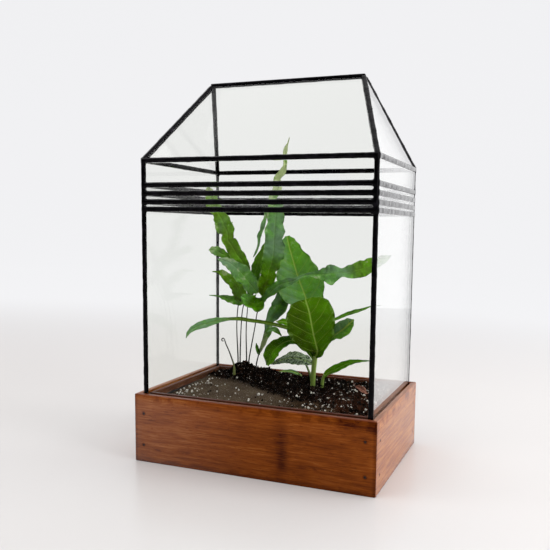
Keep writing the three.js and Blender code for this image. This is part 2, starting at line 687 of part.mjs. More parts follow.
        points: [[35.5, 18, 72, 1.8], [39.5, 19, 77, 3.8], [46, 21, 80.5, 5.2], [52.5, 23, 84, 5],
          [59, 26, 87, 3.8], [66, 28, 88.7, 2.2], [72.5, 30, 89.3, 1.2], [79.5, 31, 90, 0.5]],
        facing: [-0.1, -0.6, 0.8], fold: 0.2,
      },
    ],
  },
  {
    name: 'leaf_speckled',
    finish: greyLeaf,
    stalks: [
      [[20.5, 25, 50, 1.4], [20.5, 25, 67, 1.3], [17, 25, 77, 1.1], [13, 25.3, 84.8, 1]],
    ],
    blades: [
      {
        points: [[20.5, 26, 82.5, 1.2], [16.5, 26, 84.5, 4.6], [11, 26, 86, 6.5], [3, 27, 87, 7.4],
          [-5, 29, 86, 7], [-13.5, 31, 83, 4.6], [-20.5, 32, 80, 2.8], [-27, 33, 77.5, 0.8]],
        facing: [0, -0.7, 0.7], fold: 0.1, wave: 0.08, ripples: 2,
      },
    ],
  },
  {
    name: 'leaf_at_back',
    finish: leafGreen,
    stalks: [
      [[2, 45, 52, 1], [2, 45, 64.5, 1], [-1, 46, 67, 0.8]],
    ],
    blades: [
      {
        points: [[0.5, 45.5, 66, 0.9], [-4, 47, 67, 2.2], [-11, 49, 68, 2.6], [-18.5, 51, 67, 2],
          [-25.5, 52, 66, 0.6]],
        facing: [0, -0.5, 0.85], fold: 0.2,
      },
    ],
  },
];

function addPlants() {
  for (const plant of PLANTS) {
    const parts = [...plant.stalks.map(stalk), ...plant.blades.map(blade)];
    piece(planting, plant.name, fuse(parts), plant.finish());
  }
}

// ---------------------------------------------------------------- soil
// Nearly level, heaped towards the back, and crumbly on top.
function soilLevel(x, y) {
  let level = SOIL_EDGE_LEVEL + SOIL_RISE_TO_BACK * (y + SOIL_HALF_DEPTH);
  for (const heap of SOIL_HEAPS) {
    const spread = ((x - heap.x) / heap.spreadX) ** 2 + ((y - heap.y) / heap.spreadY) ** 2;
    level += heap.height * Math.exp(-spread);
  }
  const { height, turnX, turnY, warp, warpTurn } = SOIL_CRUMBS;
  const alongX = Math.sin(turnX * x + warp * Math.sin(warpTurn * y));
  const alongY = Math.sin(turnY * y + warp * Math.sin(warpTurn * x));
  return level + height * alongX * alongY;
}

function soilBody() {
  const width = 2 * (SOIL_HALF_WIDTH + CUT_MARGIN);
  const depth = 2 * (SOIL_HALF_DEPTH + CUT_MARGIN);
  const relief = new THREE.BoxGeometry(width, depth, 1, SOIL_COLUMNS, SOIL_ROWS, 1);
  const places = relief.attributes.position;
  for (let index = 0; index < places.count; index += 1) {
    const isTop = places.getZ(index) > 0;
    const level = soilLevel(places.getX(index), places.getY(index));
    places.setZ(index, isTop ? level : SOIL_FOOT - CUT_MARGIN);
  }
  const block = boxBetween(
    [-SOIL_HALF_WIDTH, -SOIL_HALF_DEPTH, SOIL_FOOT],
    [SOIL_HALF_WIDTH, SOIL_HALF_DEPTH, EAVE_HEIGHT],
  );
  return solidOf(relief).intersect(solidOf(block));
}

// Every stalk stands in a plain round hole, a little wider and deeper than the stalk.
function stalkHole([x, y, z, radius]) {
  const holeRadius = radius + 2 * CLEARANCE;
  const depth = BOX_HEIGHT;
  const hole = new THREE.CylinderGeometry(holeRadius, holeRadius, depth, STALK_HOLE_SIDES);
  return hole.rotateX(Math.PI / 2).translate(x, y, z - CLEARANCE + depth / 2);
}

function addSoil() {
  const feet = PLANTS.flatMap((plant) => plant.stalks.map((points) => points[0]));
  const holes = feet.map((foot) => solidOf(stalkHole(foot)));
  const soil = holes.reduce((rest, hole) => rest.subtract(hole), soilBody());
  piece(planting, 'soil', geometryOf(soil), pottingSoil());
}

addBox();
addLiner();
addHouseWalls();
addRoofSeams();
addPlants();
addSoil();

export default terrarium;
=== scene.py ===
"""Looks of a glass plant terrarium: a bamboo box, a soldered glass house and its planting.

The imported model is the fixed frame. Tables of points are in millimetres, everything made from
them is in metres, and every finished piece sits at the origin with its place in its mesh.
"""

import math
import random
from contextlib import contextmanager
from functools import cached_property
from typing import NamedTuple

import bmesh
import bpy
from bpy.props import FloatProperty, FloatVectorProperty, IntProperty, PointerProperty
from bpy.types import Operator, Panel, PropertyGroup
from mathutils import Euler, Matrix, Vector, noise


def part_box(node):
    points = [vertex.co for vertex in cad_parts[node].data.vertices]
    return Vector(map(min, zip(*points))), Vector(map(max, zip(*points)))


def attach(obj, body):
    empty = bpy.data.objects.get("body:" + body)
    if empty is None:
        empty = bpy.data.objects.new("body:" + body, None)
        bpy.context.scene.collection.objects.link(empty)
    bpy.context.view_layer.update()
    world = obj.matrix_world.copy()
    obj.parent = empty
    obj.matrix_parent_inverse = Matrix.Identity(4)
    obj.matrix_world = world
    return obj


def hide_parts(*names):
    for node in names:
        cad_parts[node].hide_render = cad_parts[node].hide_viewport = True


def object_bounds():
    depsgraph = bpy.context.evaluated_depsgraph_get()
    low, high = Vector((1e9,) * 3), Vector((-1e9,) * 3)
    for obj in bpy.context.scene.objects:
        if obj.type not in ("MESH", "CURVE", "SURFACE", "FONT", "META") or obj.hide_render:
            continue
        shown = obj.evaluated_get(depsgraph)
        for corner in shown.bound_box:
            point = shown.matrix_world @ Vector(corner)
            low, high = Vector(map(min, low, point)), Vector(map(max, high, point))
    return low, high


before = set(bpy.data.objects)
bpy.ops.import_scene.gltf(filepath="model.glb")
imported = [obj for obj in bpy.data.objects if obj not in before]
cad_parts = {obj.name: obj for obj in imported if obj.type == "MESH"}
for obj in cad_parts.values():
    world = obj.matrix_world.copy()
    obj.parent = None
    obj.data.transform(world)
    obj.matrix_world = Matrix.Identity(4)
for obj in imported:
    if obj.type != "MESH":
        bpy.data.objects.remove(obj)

bl_info = {
    "name": "Glass plant terrarium",
    "version": (1, 0, 0),
    "blender": (4, 5, 0),
    "location": "3D View > Sidebar > Terrarium",
    "description": "Builds the looks of a planted glass house on a bamboo box",
    "category": "Object",
}

MM = 0.001
BODY = "root"
UNDOABLE = {"REGISTER", "UNDO"}

# ------------------------------------------------------------------ sizes of the box and house
WHOLE_LOW, WHOLE_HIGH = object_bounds()
HALF_WIDTH = WHOLE_HIGH.x
HALF_DEPTH = WHOLE_HIGH.y
BOX_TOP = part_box("box_wall_front")[1].z
WALL_THICKNESS = 13 * MM
GROOVE_NEAR = 4.9 * MM
GROOVE_FAR = 9.5 * MM
GROOVE_DEPTH = 9.5 * MM
MITRE_GAP = 0.15 * MM

SEAM_INSET = 7.2 * MM
SEAM_WIDTH = 4 * MM
POST_WIDTH = 3.1 * MM
BACK_POST_WIDTH = 2.6 * MM
POST_SHIFT = 0.55 * MM
SILL_HEIGHT = 55.8 * MM
BAND_HEIGHTS = [230.3 * MM, 236.8 * MM, 244.1 * MM, 251.6 * MM]
EAVE_HEIGHT = 273 * MM
RIDGE_HEIGHT = 348.7 * MM
RIDGE_HALF = 76.1 * MM
HIP_TOP_HALF = 74.8 * MM
HIP_TOP_OFFSET = 1.2 * MM
SOLDER_SOFTENING = 3
SOLDER_LUMP_SIZE = 9 * MM
STRIP_HAZE = 0.1

# Nail heads: distance from the box's corner and height, on the front and on the sides.
NAILS_ON_FRONT = [(9.6 * MM, 45.3 * MM), (9.2 * MM, 16 * MM)]
NAILS_ON_SIDE = [(11.8 * MM, 44.3 * MM), (11.6 * MM, 15.4 * MM)]
NAIL_SIDES = 16
NAIL_HEAD_THICKNESS = 0.7 * MM
NAIL_SHANK_LENGTH = 0.5 * MM
NAIL_SHANK_INSET = 0.3 * MM
NAIL_DISH_INSET = 0.25 * MM
NAIL_DISH_DEPTH = 0.06 * MM
BORE_SLACK = 1.12
BORE_DEPTH = 2 * MM
# How squarely a face looks one way when it is picked by its normal.
SQUARELY = 0.9

# Each side of the box and house, and how far it is turned from the front, in degrees.
SIDES = (("front", 0), ("right", 90), ("back", 180), ("left", 270))

# ------------------------------------------------------------------ sizes of the soil
SOIL_LOW, SOIL_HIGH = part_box("soil")
# All that follows is in millimetres.
SOIL_EDGE_LEVEL = 55.8
SOIL_RISE_TO_BACK = 0.03
SOIL_SKIRT = 40
# How far heaped soil stands above smooth soil, and how deep the line between them wanders.
HEAP_STEP = 1.1
HEAP_WANDER = 3.0
WANDER_RATE = 0.09
# How often lumps and crumbs come in a millimetre.
LUMP_RATE = 0.16
CRUMB_RATE = 0.62
# Each heap's middle, across and deep, its spread both ways, and its height.
SOIL_HEAPS = [(-62, 38, 15, 14, 15.5), (-34, 34, 18, 18, 10), (0, 28, 28, 28, 5), (45, 5, 45, 40, 3.5)]
# The front foot of the dark, freshly heaped soil, its black partly painted shade, from left to right.
HEAP_FOOT = [
    (-107, 38), (-95, 30), (-86, 28), (-77, 23.5), (-66, 19), (-54, 14), (-39, 9.5), (-26, 1.5), (-16, -5),
    (-6, -11), (5, -16.5), (15, -22), (24, -24), (41, -25), (48, -27), (66, -38), (77, -50), (82, -64),
]
RANDOM_SEED = 11
PERLITE_SHAPES = 6
PERLITE_SQUASH = (1, 0.85, 0.75)
PERLITE_PROUD = 0.35
CRUMB_SHAPES = 8
CRUMB_SEED = 20
CRUMB_SQUASH = (1, 0.6, 0.45)
CRUMB_PROUD = 0.25
GRAIN_MARGIN = 1.5


def tint(red, green, blue):
    """A colour as it is picked on a screen, 0 to 255, in Blender's linear values."""
    return tuple(
        c / 12.92 if c <= 0.04045 else ((c + 0.055) / 1.055) ** 2.4
        for c in (red / 255, green / 255, blue / 255)
    )


def side_sizes(turn, inset=0.0):
    """Half the length of a side, and how far out it stands, both less the inset."""
    sizes = (HALF_WIDTH - inset, HALF_DEPTH - inset)
    return sizes if turn % 180 == 0 else sizes[::-1]


def nail_places(turn):
    return NAILS_ON_FRONT if turn % 180 == 0 else NAILS_ON_SIDE


# ------------------------------------------------------------------ settings
def size_setting(name, description, default, low=0.0, high=1.0):
    return FloatProperty(
        name=name, description=description, default=default, min=low, max=high, unit="LENGTH", precision=5
    )


def colour_setting(name, description, default):
    return FloatVectorProperty(
        name=name, description=description, default=default, min=0.0, max=1.0, subtype="COLOR", size=3
    )


def power_setting(name, description, default):
    return FloatProperty(name=name, description=description, default=default, min=0.0, unit="POWER")


def count_setting(name, description, default, high):
    return IntProperty(name=name, description=description, default=default, min=0, max=high)


class BoxSettings(PropertyGroup):
    rounding: size_setting("Edge rounding", "How far the edges are sanded round", 0.7 * MM, 0.1 * MM, 2 * MM)
    nail_radius: size_setting("Nail head", "Radius of a brad's head", 1.05 * MM, 0.3 * MM, 2 * MM)
    nail_depth: size_setting("Nail depth", "How far a head is below the wood", 0.2 * MM, 0.05 * MM, 1 * MM)
    pale: colour_setting("Pale grain", "The lightest grain of the stained bamboo", tint(192, 121, 61))
    warm: colour_setting("Warm grain", "The lighter colour of the stained bamboo", tint(150, 76, 20))
    stain: colour_setting("Stain", "The main colour of the stained bamboo", tint(126, 60, 10))
    dark: colour_setting("Dark grain", "The darkest grain and the node of the bamboo", tint(62, 17, 1))
    liner: colour_setting("Liner", "The waterproof tray", tint(26, 26, 28))


class HouseSettings(PropertyGroup):
    fineness: size_setting("Solder detail", "Grid size of the solder's surface", 0.9 * MM, 0.5 * MM, 2 * MM)
    lumps: size_setting("Solder lumps", "How far the solder swells and dips", 0.55 * MM, 0.0, 1.5 * MM)
    patina: colour_setting("Patina", "The black finish on the solder", tint(7, 6, 9))
    bare: colour_setting("Worn patina", "Where the patina is thin", tint(48, 43, 54))
    sheen: colour_setting("Glass sheen", "Colour of the light that the glass mirrors", (1.0, 1.0, 1.0))


class PlantingSettings(PropertyGroup):
    soil_cell: size_setting("Soil detail", "Grid size of the soil's surface", 0.85 * MM, 0.4 * MM, 4 * MM)
    perlite: count_setting("Perlite", "How many grains of perlite show", 460, 2000)
    crumbs: count_setting("Crumbs", "How many loose crumbs lie on the soil", 2000, 6000)
    # The heaped soil's near black: its own dark colour and painted shade.
    heap_soil_and_shade: colour_setting("Damp soil", "The dark, freshly heaped soil", tint(12, 8, 6))
    dry_soil: colour_setting("Dry soil", "The smooth soil at the front", tint(78, 66, 55))
    fern_green: colour_setting("Fern", "The fern's fronds", tint(68, 124, 5))
    leaf_green: colour_setting("Leaf", "The broad leaves", tint(66, 124, 4))
    grey_leaf: colour_setting("Grey leaf", "The speckled leaf", tint(112, 122, 104))


class StudioSettings(PropertyGroup):
    floor: colour_setting("Floor", "The paper that the object stands on", tint(222, 219, 218))
    backdrop: colour_setting("Backdrop", "The lit paper behind", tint(238, 238, 240))
    dark_side: colour_setting("Dark side", "The room in front of the object", (0.05, 0.048, 0.06))
    key_power: power_setting("Key light", "Power of the large soft light", 8.6)
    top_power: power_setting("Top light", "Power of the overhead light", 4.9)
    side_power: power_setting("Side light", "Power of the panel behind, at the right", 1.2)
    right_power: power_setting("Right light", "Power of the soft light at the right", 9.7)
    room: FloatProperty(name="Room light", description="Strength of light all round", default=0.9, min=0.0)


# ------------------------------------------------------------------ shader maths
class Wire:
    """A value that runs through a material's nodes. Sums and products of wires add Math nodes."""

    def __init__(self, finish, socket):
        self.finish = finish
        self.socket = socket

    def maths(self, operation, *values):
        return self.finish.node("ShaderNodeMath", {"operation": operation}, dict(enumerate(values)))

    def __add__(self, other):
        return self.maths("ADD", self, other)

    def __sub__(self, other):
        return self.maths("SUBTRACT", self, other)

    def __rsub__(self, other):
        return self.maths("SUBTRACT", other, self)

    def __mul__(self, other):
        return self.maths("MULTIPLY", self, other)

    def __truediv__(self, other):
        return self.maths("DIVIDE", self, other)

    def __pow__(self, other):
        return self.maths("POWER", self, other)

    def __abs__(self):
        return self.maths("ABSOLUTE", self)

    __radd__ = __add__
    __rmul__ = __mul__

    def fraction(self):
        return self.maths("FRACT", self)

    def limited(self):
        return self.maths("MINIMUM", self.maths("MAXIMUM", self, 0.0), 1.0)


class Finish:
    """One material, or the studio's world, being built up from nodes."""

    def __init__(self, name, kind="materials"):
        self.made = getattr(bpy.data, kind).new(name)
        self.made.use_nodes = True
        self.tree = self.made.node_tree
        self.tree.nodes.clear()

    def node(self, kind, settings=None, sockets=None, out=0):
        """Adds a node: its settings first, then the values or links of its sockets."""
        node = self.tree.nodes.new(kind)
        for name, value in (settings or {}).items():
            if name == "stops":
                self.set_stops(node.color_ramp, value)
            else:
                setattr(node, name, value)
        for name, value in (sockets or {}).items():
            if isinstance(value, Wire):
                self.tree.links.new(value.socket, node.inputs[name])
            else:
                node.inputs[name].default_value = value
        return Wire(self, node.outputs[out]) if node.outputs else None

    @staticmethod
    def set_stops(ramp, stops):
        while len(ramp.elements) < len(stops):
            ramp.elements.new(1.0)
        for element, (place, colour) in zip(ramp.elements, stops):
            element.position = place
            element.color = (*colour, 1.0)

    @cached_property
    def place(self):
        return self.node("ShaderNodeTexCoord", out="Object")

    def axes(self, vector=None):
        split = self.node("ShaderNodeSeparateXYZ", None, {0: vector or self.place})
        return tuple(Wire(self, output) for output in split.socket.node.outputs)

    def vector(self, x, y, z):
        return self.node("ShaderNodeCombineXYZ", None, {0: x, 1: y, 2: z})

    def attribute(self, name, out="Color"):
        return self.node("ShaderNodeAttribute", {"attribute_name": name}, out=out)

    def facing(self):
        """0 where the surface faces the eye, 1 where it is seen edge on; for gloss only."""
        return self.node("ShaderNodeLayerWeight", None, {"Blend": 0.5}, out="Facing")

    def flat_axes(self, name):
        """Both axes of one of the piece's UV maps."""
        return self.axes(self.node("ShaderNodeUVMap", {"uv_map": name}))[:2]

    def noise(self, scale, detail=2.0, roughness=0.5, distortion=0.0, at=None):
        sockets = {"Scale": scale, "Detail": detail, "Roughness": roughness, "Distortion": distortion}
        return self.node("ShaderNodeTexNoise", None, {"Vector": at or self.place, **sockets}, out="Fac")

    def stretched(self, x, y, z, detail=2.0, roughness=0.5):
        """Noise on axes that are each scaled already."""
        return self.noise(1.0, detail, roughness, at=self.vector(x, y, z))

    def cells(self, scale, feature="F1", out="Distance", at=None):
        sockets = {"Vector": at or self.place, "Scale": scale}
        return self.node("ShaderNodeTexVoronoi", {"feature": feature}, sockets, out=out)

    def spread(self, value, low, high, to_low=0.0, to_high=1.0):
        """Takes low..high smoothly to to_low..to_high, and holds the ends."""
        sockets = {0: value, 1: low, 2: high, 3: to_low, 4: to_high}
        return self.node("ShaderNodeMapRange", {"interpolation_type": "SMOOTHSTEP"}, sockets)

    def hump(self, value, centre, reach):
        """1 where value is centre, falling to 0 at reach from it."""
        return self.spread(abs(value - centre), 0.0, reach, 1.0, 0.0)

    def ramp(self, value, *stops):
        return self.node("ShaderNodeValToRGB", {"stops": stops}, {0: value}, out="Color")

    def blend(self, factor, first, second):
        """Mixes two colours."""
        colours = {
            socket: colour if isinstance(colour, Wire) else (*colour, 1.0)
            for socket, colour in ((6, first), (7, second))
        }
        return self.node("ShaderNodeMix", {"data_type": "RGBA"}, {0: factor, **colours}, out=2)

    def bump(self, height, distance, strength=1.0):
        sockets = {"Height": height, "Distance": distance, "Strength": strength}
        return self.node("ShaderNodeBump", None, sockets)

    def surface(self, **values):
        """Ends the material with a Principled shader of these values."""
        sockets = {name.replace("_", " "): value for name, value in values.items()}
        return self.done(self.node("ShaderNodeBsdfPrincipled", None, sockets))

    def done(self, shader, output="ShaderNodeOutputMaterial"):
        self.node(output, None, {0: shader})
        return self.made


# ------------------------------------------------------------------ finishes
def bamboo(name, settings, turn):
    """Stained, varnished bamboo whose grain runs along the side that is turned so far."""
    finish = Finish(name)
    x, y, z = finish.axes()
    on_front = turn == 0
    run, depth = (x, y) if on_front else (y, x)
    half_run, half_depth = side_sizes(turn)
    # The grain: fibres, broader streaks, clouds, short dark dashes and smudges.
    waver = finish.stretched(run * 30.0, depth * 40.0, z * 40.0)
    height = z + (waver - 0.5) * 0.001
    fibre = finish.stretched(run * 55.0, depth * 800.0, height * 1100.0, 3.0, 0.65)
    streak = finish.stretched(run * 20.0, depth * 300.0, height * 430.0, 3.0, 0.6)
    cloud = finish.stretched(run * 26.0, depth * 60.0, z * 75.0, 4.0, 0.62)
    dash = finish.stretched(run * 150.0, depth * 900.0, height * 620.0)
    smudge = finish.stretched(run * 95.0, depth * 95.0, z * 80.0, 4.0, 0.6)
    stray = smudge - 0.5
    tone = 0.5 + (fibre - 0.5) * 0.95 + (streak - 0.5) * 0.75 + (cloud - 0.5) * 0.5
    tone = tone - finish.spread(dash, 0.6, 0.75) * 0.2
    # A dark stain round each nail.
    for inset, level in nail_places(turn):
        beside, above = abs(run) - (half_run - inset), z - level
        away = (beside * beside + above * above) ** 0.5
        tone = tone - finish.spread(away + stray * 0.0012, 0.001, 0.0026, 0.32, 0.0)
    # In front a darker node and stains at the right and along the top; the sides are painted paler, a painted
    # sheen.
    if on_front:
        core = finish.hump(run, 0.0318 + stray * 0.008, 0.0078)
        halo = finish.hump(run, 0.03 + stray * 0.012, 0.0115)
        fade = finish.spread(z, 0.004, 0.016, 0.25, 1.0) * finish.spread(z, 0.038, 0.05, 1.0, 0.4)
        node_band = (core * 0.16 + halo * 0.17) * fade
        upper_edge = finish.spread(z + stray * 0.02, 0.0525, 0.0565)
        corner_stain = finish.spread(run, 0.074, 0.088) * upper_edge * 0.24
        edge_stain = finish.spread(smudge, 0.5, 0.62) * finish.spread(z, 0.054, 0.059) * 0.2
        tone = tone - node_band - corner_stain - edge_stain
        # Painted sheen: the front is painted paler towards the left.
        tone = tone - finish.spread(run, -0.115, 0.02, -0.13, 0.0)
        lacquer = finish.spread(run, -0.12, 0.02, 1.0, 0.1)
        inner_lip, outer_lip = tint(96, 46, 30), tint(120, 66, 46)
    else:
        # Painted sheen: the sides' faces are painted paler, and their tops paler still.
        tone = tone + 0.3 - finish.spread(smudge, 0.5, 0.62) * finish.spread(z, 0.05, 0.059) * 0.3
        lacquer = 0.8
        inner_lip, outer_lip = tint(104, 66, 54), tint(176, 132, 112)
    # Darker at the foot and the corners: painted shade. On top paler, on the sides with painted sheen; darker
    # towards the inside.
    foot = finish.spread(z + stray * 0.008, 0.001, 0.005, 0.2, 0.0)
    corner = finish.spread(abs(run), half_run - 0.004, half_run - 0.001, 0.0, 0.2)
    tone = tone - foot - corner
    colour = finish.ramp(
        tone.limited(),
        (0.0, settings.dark), (0.42, settings.stain), (0.62, settings.warm), (1.0, settings.pale),
    )
    top = finish.spread(z, BOX_TOP - 0.0009, BOX_TOP - 0.0003)
    inside = finish.spread(abs(depth), half_depth - 0.009, half_depth - 0.0055, 1.0, 0.0)
    inner_darkening = finish.blend(fibre, tint(40, 24, 17), tint(96, 62, 48))
    colour = finish.blend(inside * 0.85, colour, inner_darkening)
    lip = finish.blend(inside, outer_lip, inner_lip)
    lip = finish.blend(finish.spread(fibre, 0.35, 0.65, 0.4, 0.0), lip, settings.dark)
    return finish.surface(
        Base_Color=finish.blend(top * 0.8, colour, lip),
        Roughness=finish.spread(fibre, 0.3, 0.75, 0.34, 0.5),
        Specular_IOR_Level=0.03,
        Coat_Weight=lacquer * (1.0 - top * 0.75),
        Coat_Roughness=0.2,
        Normal=finish.bump(fibre * 0.6 + streak * 0.4, 0.00025, 0.5),
    )


def patina(name, settings):
    """Blackened solder, slightly uneven, with the patina worn thin in places."""
    finish = Finish(name)
    clouds = finish.noise(130.0, 3.0, 0.6)
    pits = finish.noise(900.0)
    worn = finish.spread(clouds, 0.52, 0.75)
    return finish.surface(
        Base_Color=finish.blend(worn * 0.3, settings.patina, settings.bare),
        Roughness=finish.spread(clouds, 0.3, 0.7, 0.22, 0.4),
        Metallic=0.9,
        Coat_Weight=finish.spread(finish.facing(), 0.66, 0.78) * 0.9,
        Coat_Roughness=0.15,
        Normal=finish.bump(clouds * 0.7 + pits * 0.3, 0.0006, 0.5),
    )


def clear_glass(name, settings, haze=0.0):
    """Clear sheet glass: what it mirrors grows towards a glancing view."""
    finish = Finish(name)
    facing = finish.facing()
    # Little is mirrored straight on; the power and the added share bring it in towards the edge.
    mirrored = 0.001 + 0.999 * facing ** 4.8 + finish.spread(facing, 0.62, 0.8) * 0.26
    smear = finish.spread(finish.noise(60.0, 3.0, 0.6), 0.45, 0.8)
    film = finish.node("ShaderNodeBsdfDiffuse", None, {"Color": (0.9, 0.92, 0.92, 1.0)})
    clear = finish.node("ShaderNodeBsdfTransparent", None, {"Color": (0.98, 0.983, 0.973, 1.0)})
    body = finish.node("ShaderNodeMixShader", None, {0: haze + smear * 0.0006, 1: clear, 2: film})
    ripple = finish.bump(finish.noise(14.0, 1.0), 0.0006, 0.25)
    sheen = {"Color": (*settings.sheen, 1.0), "Roughness": 0.02, "Normal": ripple}
    gloss = finish.node("ShaderNodeBsdfGlossy", None, sheen)
    return finish.done(finish.node("ShaderNodeMixShader", None, {0: mirrored, 1: body, 2: gloss}))


def liner_plastic(name, settings):
    """Thin moulded tray, matt, with a little dust."""
    finish = Finish(name)
    dust = finish.spread(finish.noise(120.0, 4.0, 0.65), 0.52, 0.75)
    return finish.surface(
        Base_Color=finish.blend(dust * 0.4, settings.liner, tint(86, 74, 62)),
        Roughness=0.55 + dust * 0.3,
        Normal=finish.bump(finish.noise(1400.0), 0.0002, 0.4),
    )


def potting_soil(name, settings):
    """Potting soil: black and crumbly where heaped, the black partly painted shade, grey-brown in front,
    browner to the right.
    """
    finish = Finish(name)
    crumbs = finish.cells(620.0)
    grains = finish.noise(900.0, 4.0, 0.7)
    patches = finish.noise(55.0, 3.0, 0.6)
    x, y, _ = finish.axes()
    # The heaped soil, its own dark colour deepened to near black by painted shade, redder at the right.
    heap_tone_and_shade = finish.ramp(
        (0.5 + (grains - 0.5) * 1.7 + (crumbs - 0.4) * 0.5).limited(),
        (0.4, tint(2, 2, 2)), (0.6, settings.heap_soil_and_shade), (0.82, tint(44, 31, 24)), (1.0, tint(120, 88, 68)),
    )
    reddish = finish.spread(x - y * 0.6, 0.03, 0.1) * finish.spread(patches, 0.35, 0.6)
    heap_tone_and_shade = finish.blend(reddish * 0.6, heap_tone_and_shade, finish.blend(grains, tint(20, 10, 6), tint(96, 56, 38)))
    # The smooth soil in front, dry at the left and moist from the middle on.
    dry = finish.ramp(
        (grains * 0.62 + patches * 0.42).limited(),
        (0.2, tint(38, 31, 25)), (0.5, settings.dry_soil), (0.8, tint(108, 96, 80)),
        (1.0, tint(170, 158, 142)),
    )
    moist = finish.ramp(
        (grains * 0.75 + patches * 0.35).limited(),
        (0.2, tint(14, 10, 7)), (0.5, tint(44, 32, 22)), (0.68, tint(84, 66, 50)), (0.9, tint(150, 130, 110)),
    )
    dry = finish.blend(finish.spread(x + (patches - 0.5) * 0.04, -0.012, 0.036), dry, moist)
    colour = finish.blend(finish.attribute("heaped", "Fac"), dry, heap_tone_and_shade)
    # A few pale specks.
    chosen = finish.axes(finish.cells(420.0, out="Color"))[0]
    speck = finish.spread(chosen, 0.955, 0.97) * finish.spread(crumbs, 0.25, 0.4, 1.0, 0.0)
    return finish.surface(
        Base_Color=finish.blend(speck * 0.8, colour, tint(196, 188, 176)),
        Roughness=0.9,
        Specular_IOR_Level=0.0,
        Normal=finish.bump(grains * 0.5 + crumbs * 0.6, 0.0014),
    )


def perlite_grain(name):
    """Puffed white mineral: chalky, finely pitted, with a little soil on it."""
    finish = Finish(name)
    dirt = finish.spread(finish.noise(700.0, 3.0, 0.6), 0.52, 0.72)
    return finish.surface(
        Base_Color=finish.blend(dirt * 0.7, tint(226, 221, 214), tint(120, 102, 84)),
        Roughness=0.85,
        Normal=finish.bump(finish.cells(2600.0), 0.0003, 0.7),
    )


def bark_crumb(name):
    """Chips of bark and fibre among the soil."""
    finish = Finish(name)
    fibres = finish.noise(1500.0, 3.0, 0.6)
    colour = finish.ramp(
        (fibres * 0.5 + finish.noise(180.0, 1.0) * 0.5).limited(),
        (0.38, tint(5, 4, 3)), (0.55, tint(20, 13, 9)), (0.7, tint(84, 54, 38)), (0.9, tint(150, 112, 84)),
    )
    return finish.surface(
        Base_Color=colour, Roughness=0.85, Specular_IOR_Level=0.05, Normal=finish.bump(fibres, 0.0004, 0.8)
    )


def nail_steel(name):
    """Dark oxidised heads of small brads."""
    finish = Finish(name)
    rust = finish.noise(1800.0)
    colour = finish.blend(finish.spread(rust, 0.4, 0.7), tint(24, 17, 13), tint(70, 56, 46))
    return finish.surface(
        Base_Color=colour, Metallic=0.6, Roughness=0.5, Normal=finish.bump(rust, 0.0001, 0.5)
    )


def leaf_skin(
    name, green, vein_gap, vein_slope, veins, rib, shine, uneven=0.4, quilting=0.5, speckled=False
):
    """A leaf's skin: pale midrib and side veins, and a bluish sheen, partly painted, where its tone says so.
    """
    finish = Finish(name)
    across, along = finish.flat_axes("flat")
    side, _ = finish.flat_axes("share")
    bluish, light, yellow = finish.axes(finish.attribute("tone"))
    ribbed = finish.attribute("tone", "Alpha")
    reach = abs(across)
    margin = abs(side - 0.5) * 2.0
    mottle = finish.noise(160.0, 3.0, 0.6)
    cloud = finish.noise(62.0, 3.0, 0.6, 0.6)
    fine = finish.noise(1100.0)
    wander = finish.noise(70.0, 1.0)
    # Side veins climb from the midrib to the margin; a net of fine veins lies between them.
    climb = (along - reach * vein_slope - reach * reach * 8.0 + (wander - 0.5) * 0.003) / vein_gap
    pulse = abs(climb.fraction() - 0.5) * 2.0
    side_veins = finish.spread(pulse, 0.87, 1.0) * finish.spread(margin, 0.75, 1.0, 1.0, 0.0)
    midrib = finish.spread(reach, 0.0003, 0.0011, 1.0, 0.0) * finish.spread(margin, 0.35, 0.6, 1.0, 0.0)
    net = finish.cells(950.0, "DISTANCE_TO_EDGE", at=finish.vector(across, along, 0.0))
    netting = finish.spread(net, 0.0, 0.12, 1.0, 0.0)
    # The colour, in coats: the body with painted light and shade, yellowing, bluish sheen partly painted,
    # rim, fine net and veins.
    dark = [0.22 * c for c in green]
    pale = [min(1.0, 2.1 * c) for c in green]
    # The tone's light is painted light and shade: backlit parts lightened up to near white, shaded parts
    # darkened.
    shade = light + ((mottle - 0.5) * 1.1 + (cloud - 0.5) * 1.7) * uneven + (fine - 0.5) * 0.2
    body = finish.ramp(shade.limited(), (0.0, dark), (0.45, green), (0.75, pale), (1.0, tint(206, 222, 168)))
    body = finish.blend(yellow, body, tint(154, 178, 38))
    # Bluish: the fern's own glaucous tone and painted sheen.
    sheen = (bluish + ((mottle - 0.5) * 1.2 - (cloud - 0.5) * 2.6) * bluish).limited()
    body = finish.blend(sheen, body, tint(131, 168, 130))
    rim = finish.spread(margin, 0.82, 1.0)
    body = finish.blend(rim * finish.spread(mottle, 0.42, 0.62) * 0.6, body, tint(150, 184, 104))
    body = finish.blend(rim * finish.spread(mottle, 0.38, 0.5, 0.5, 0.0), body, dark)
    body = finish.blend(netting * 0.07, body, pale)
    body = finish.blend(side_veins * ribbed * veins, body, tint(146, 178, 70))
    body = finish.blend(midrib * ribbed * rib, body, tint(160, 190, 84))
    if speckled:
        spots = finish.spread(finish.noise(620.0, 2.0, 0.6), 0.5, 0.56)
        body = finish.blend(spots * 0.85, body, tint(30, 40, 30))
    quilt = finish.spread(pulse, 0.3, 1.0, 1.0, 0.0)
    relief = quilt * quilting + (1.0 - netting) * 0.1 + mottle * 0.8 - midrib * 0.5
    return finish.surface(
        Base_Color=body,
        Roughness=finish.spread(mottle, 0.3, 0.7, shine - 0.06, shine + 0.1),
        Specular_IOR_Level=0.012,
        Normal=finish.bump(relief, 0.0009, 0.7),
    )


